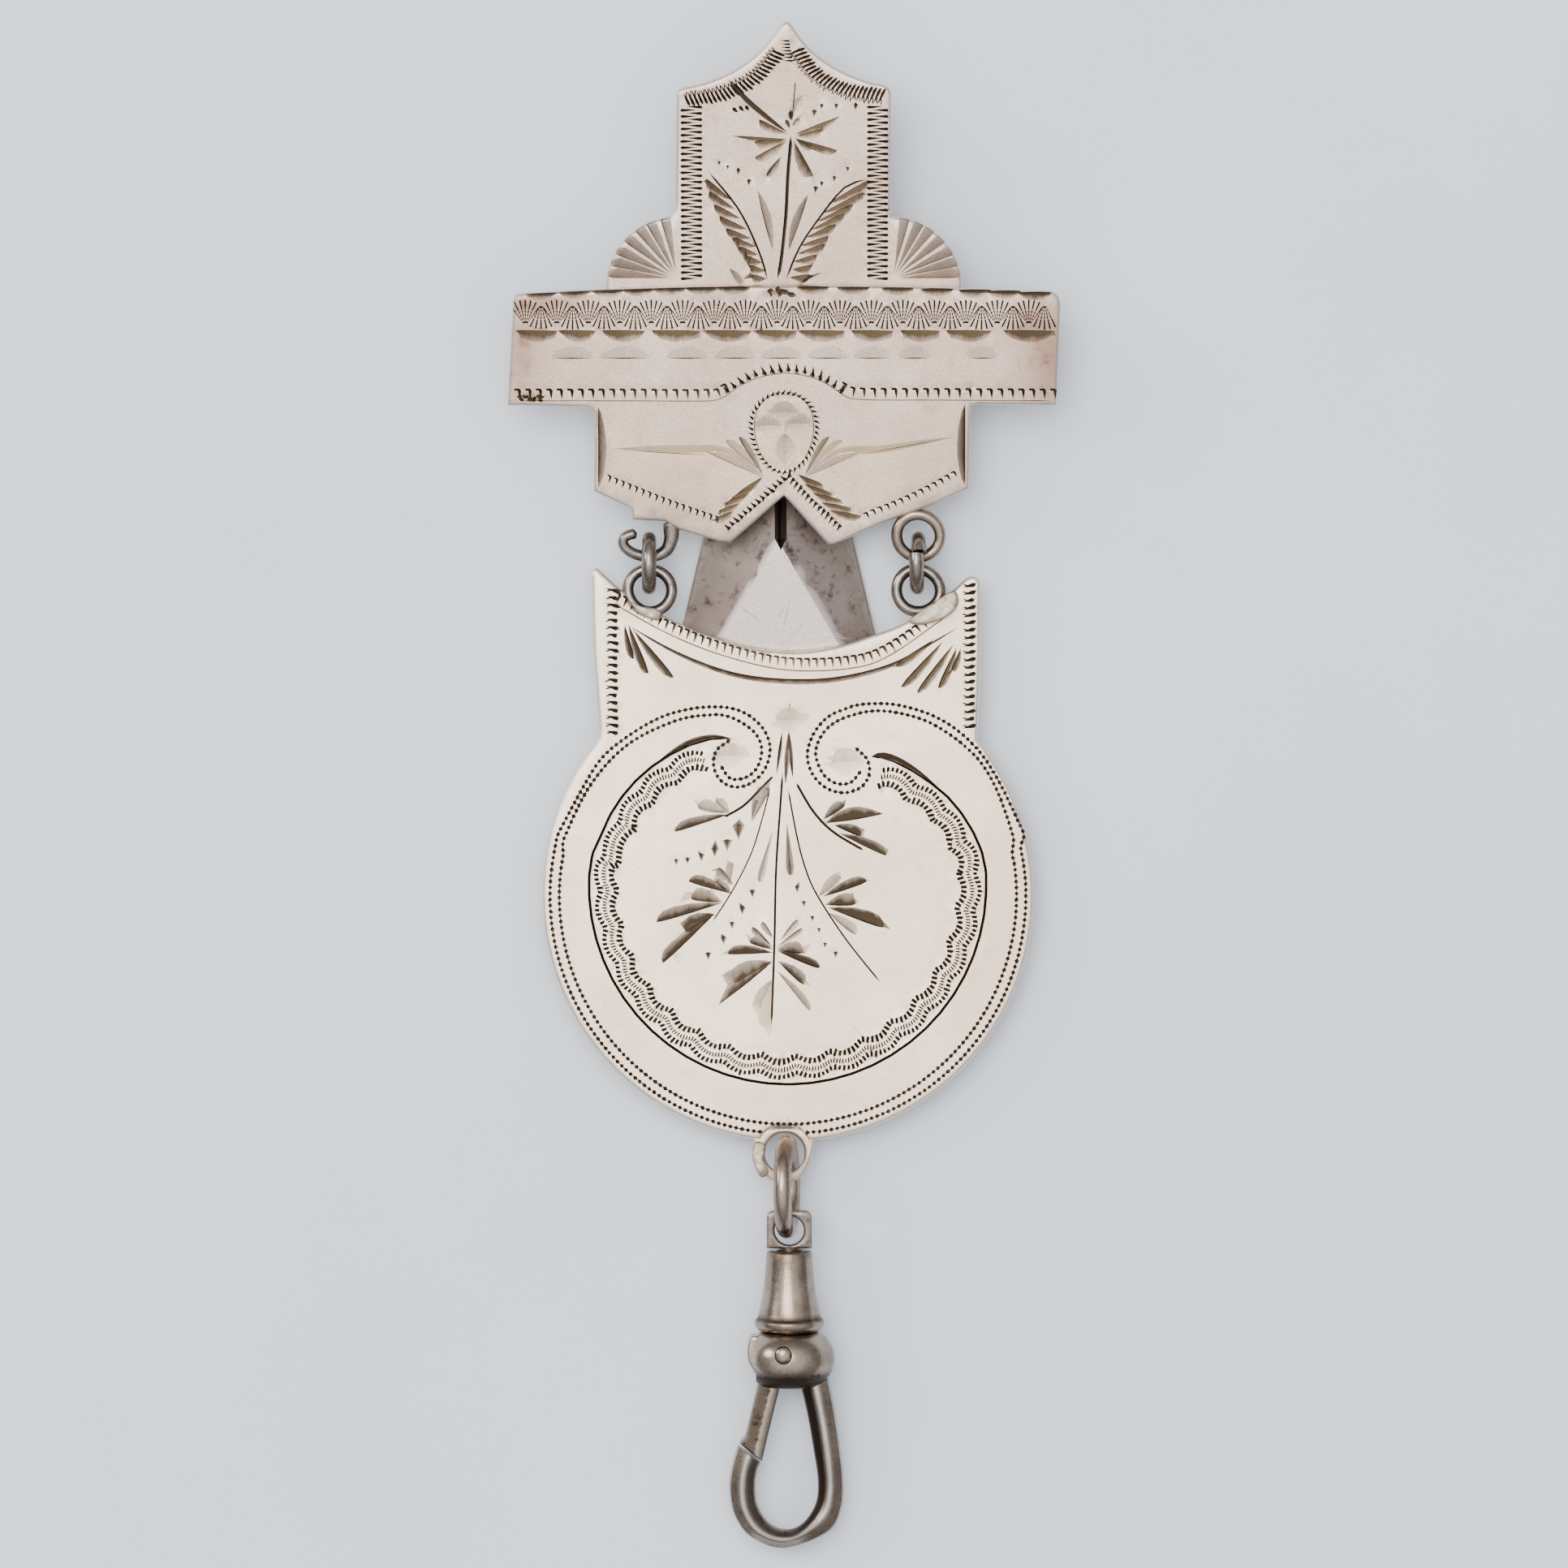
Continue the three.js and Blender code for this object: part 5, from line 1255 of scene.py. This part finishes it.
# painted shade on the inner slope, most of all to the right, and a painted highlight along the ridge
inward = np.clip((-np.concatenate([np.tile(c, hookRows), [0, 0]]) - 0.12) / 0.2, 0, 1)
ridge = np.clip(1 - np.abs(np.concatenate([np.tile(c, hookRows), [1, 1]])) / 0.3, 0, 1)
rightward = np.clip((hookSolid[0][:, 0] + 0.5) / 1.5, 0, 1)
hookMarks = {"stainAndShade": inward * (0.5 + 1.1 * rightward) + 0.25 * (1 - ridge), "rim": 1.2 * ridge}
addPiece("hook_body_look", onClip(hookSolid), "swivel_clip", ["hook_body"], swivelSilver,
         sharp=34, marks=hookMarks)

gate = {"head": 1.2, "half": 0.9, "ridge": 1.05, "slope": 0.5, "headY": -1.4}
pinX, pinY = ball["pin"]
gateOutline = np.concatenate([
    arc((pinX, pinY), gate["head"], -70, 90, 14), [(pinX - 2.45, pinY + gate["head"])],
    arc((pinX, pinY), 2.72, 154, 200, 8),
    [(-2.3, -1.5), (-3.3, -5.8), (-3.78, -6.42), (-2.03, -7.76), (-1.7, -6.3), (-0.5, -1.3)]])


def besideRidge(x, y):
    # distance from the line the gate's two slopes meet on
    return (x + 1.05) * 0.971 - (y + 1.3) * 0.239


def gateTop(x, y):
    # two slopes that fall from the ridge on the blade, and a level head inside the ball
    return gate["ridge"] - gate["slope"] * np.sqrt(besideRidge(x, y) ** 2 + 0.02) * (y < gate["headY"])


gateSolid, _, gateMarks = engravedPlate(
    gateOutline, gateTop, lambda x, y: -gate["half"] + 0 * x, (), [((pinX, pinY), 0.68)], rim=0.2, fill=0.2,
    step=0.2)
gateX, gateY = gateSolid[0][:, 0], gateSolid[0][:, 1]
# painted shade on the slope to one side of the ridge, fainter over the rest of the blade, none on the head
gateMarks["stainAndShade"] = (0.95 * (besideRidge(gateX, gateY) < -0.15) + 0.25) * (gateY < gate["headY"])
addPiece("gate_look", onClip(gateSolid), "gate", ["gate"], swivelSilver, sharp=50,
         marks=gateMarks)
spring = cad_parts["gate_spring"]
spring.data.materials.clear()
spring.data.materials.append(bladeSilver)
print("swivel clip made")


studio = {"floor": rgb(0.82, 0.895, 1.0), "distance": 1.1, "span": 0.1179, "key": 17.0, "fill": 5.0,
          "sky": 1.65, "lamp": (1.0, 0.955, 0.90)}
floorMesh = bpy.data.meshes.new("floor")
floorMesh.from_pydata([(-1.5, -1.5, 0), (1.5, -1.5, 0), (1.5, 1.5, 0), (-1.5, 1.5, 0)], [], [(0, 1, 2, 3)])
floor = bpy.data.objects.new("floor", floorMesh)
scene.collection.objects.link(floor)
stone = Paint("paleStone", Roughness=0.45)
drift = stone.noise(0.02, 4.0, 0.6).step(0.35, 0.75)
floorMesh.materials.append(stone.use(Base_Color=stone.blend(drift * 0.5, studio["floor"],
                                                            rgb(0.75, 0.825, 0.935))))

world = bpy.data.worlds.new("studio")
scene.world = world
world.use_nodes = True
sky = world.node_tree
height = sky.nodes.new("ShaderNodeSeparateXYZ")
sky.links.new(sky.nodes.new("ShaderNodeTexCoord").outputs["Generated"], height.inputs[0])
ramp = sky.nodes.new("ShaderNodeValToRGB")
stops = [ramp.color_ramp.elements[0], ramp.color_ramp.elements[1],
         ramp.color_ramp.elements.new(0.55), ramp.color_ramp.elements.new(0.85)]
for stop, (at, shade) in zip(stops, ((0.0, 0.16), (1.0, 1.0), (0.55, 0.36), (0.85, 0.86))):
    stop.position, stop.color = at, rgb(shade * 0.99, shade, shade * 1.015)
sky.links.new(height.outputs[2], ramp.inputs[0])
sky.links.new(ramp.outputs[0], sky.nodes["Background"].inputs[0])
sky.nodes["Background"].inputs[1].default_value = studio["sky"]


def softLight(name, at, toward, width, power):
    # round lamp that looks at a point
    lamp = bpy.data.lights.new(name, "AREA")
    lamp.shape, lamp.size, lamp.energy, lamp.color = "DISK", width, power, studio["lamp"]
    holder = bpy.data.objects.new(name, lamp)
    scene.collection.objects.link(holder)
    holder.location = at
    holder.rotation_euler = (Vector(toward) - Vector(at)).to_track_quat("-Z", "Y").to_euler()


softLight("overhead", (-0.25, 0.35, 1.6), (0, 0, 0), 1.1, studio["key"])
softLight("side", (-1.1, 0.5, 0.7), (0, 0, 0), 0.5, studio["fill"])

camera = bpy.data.objects.new("camera", bpy.data.cameras.new("camera"))
scene.collection.objects.link(camera)
camera.location = (0, drawingShift[1] / 1000, studio["distance"])
camera.data.sensor_width = 36
camera.data.lens = 36 * (studio["distance"] - 0.004) / studio["span"]
camera.data.clip_start, camera.data.clip_end = 0.01, 10
scene.camera = camera
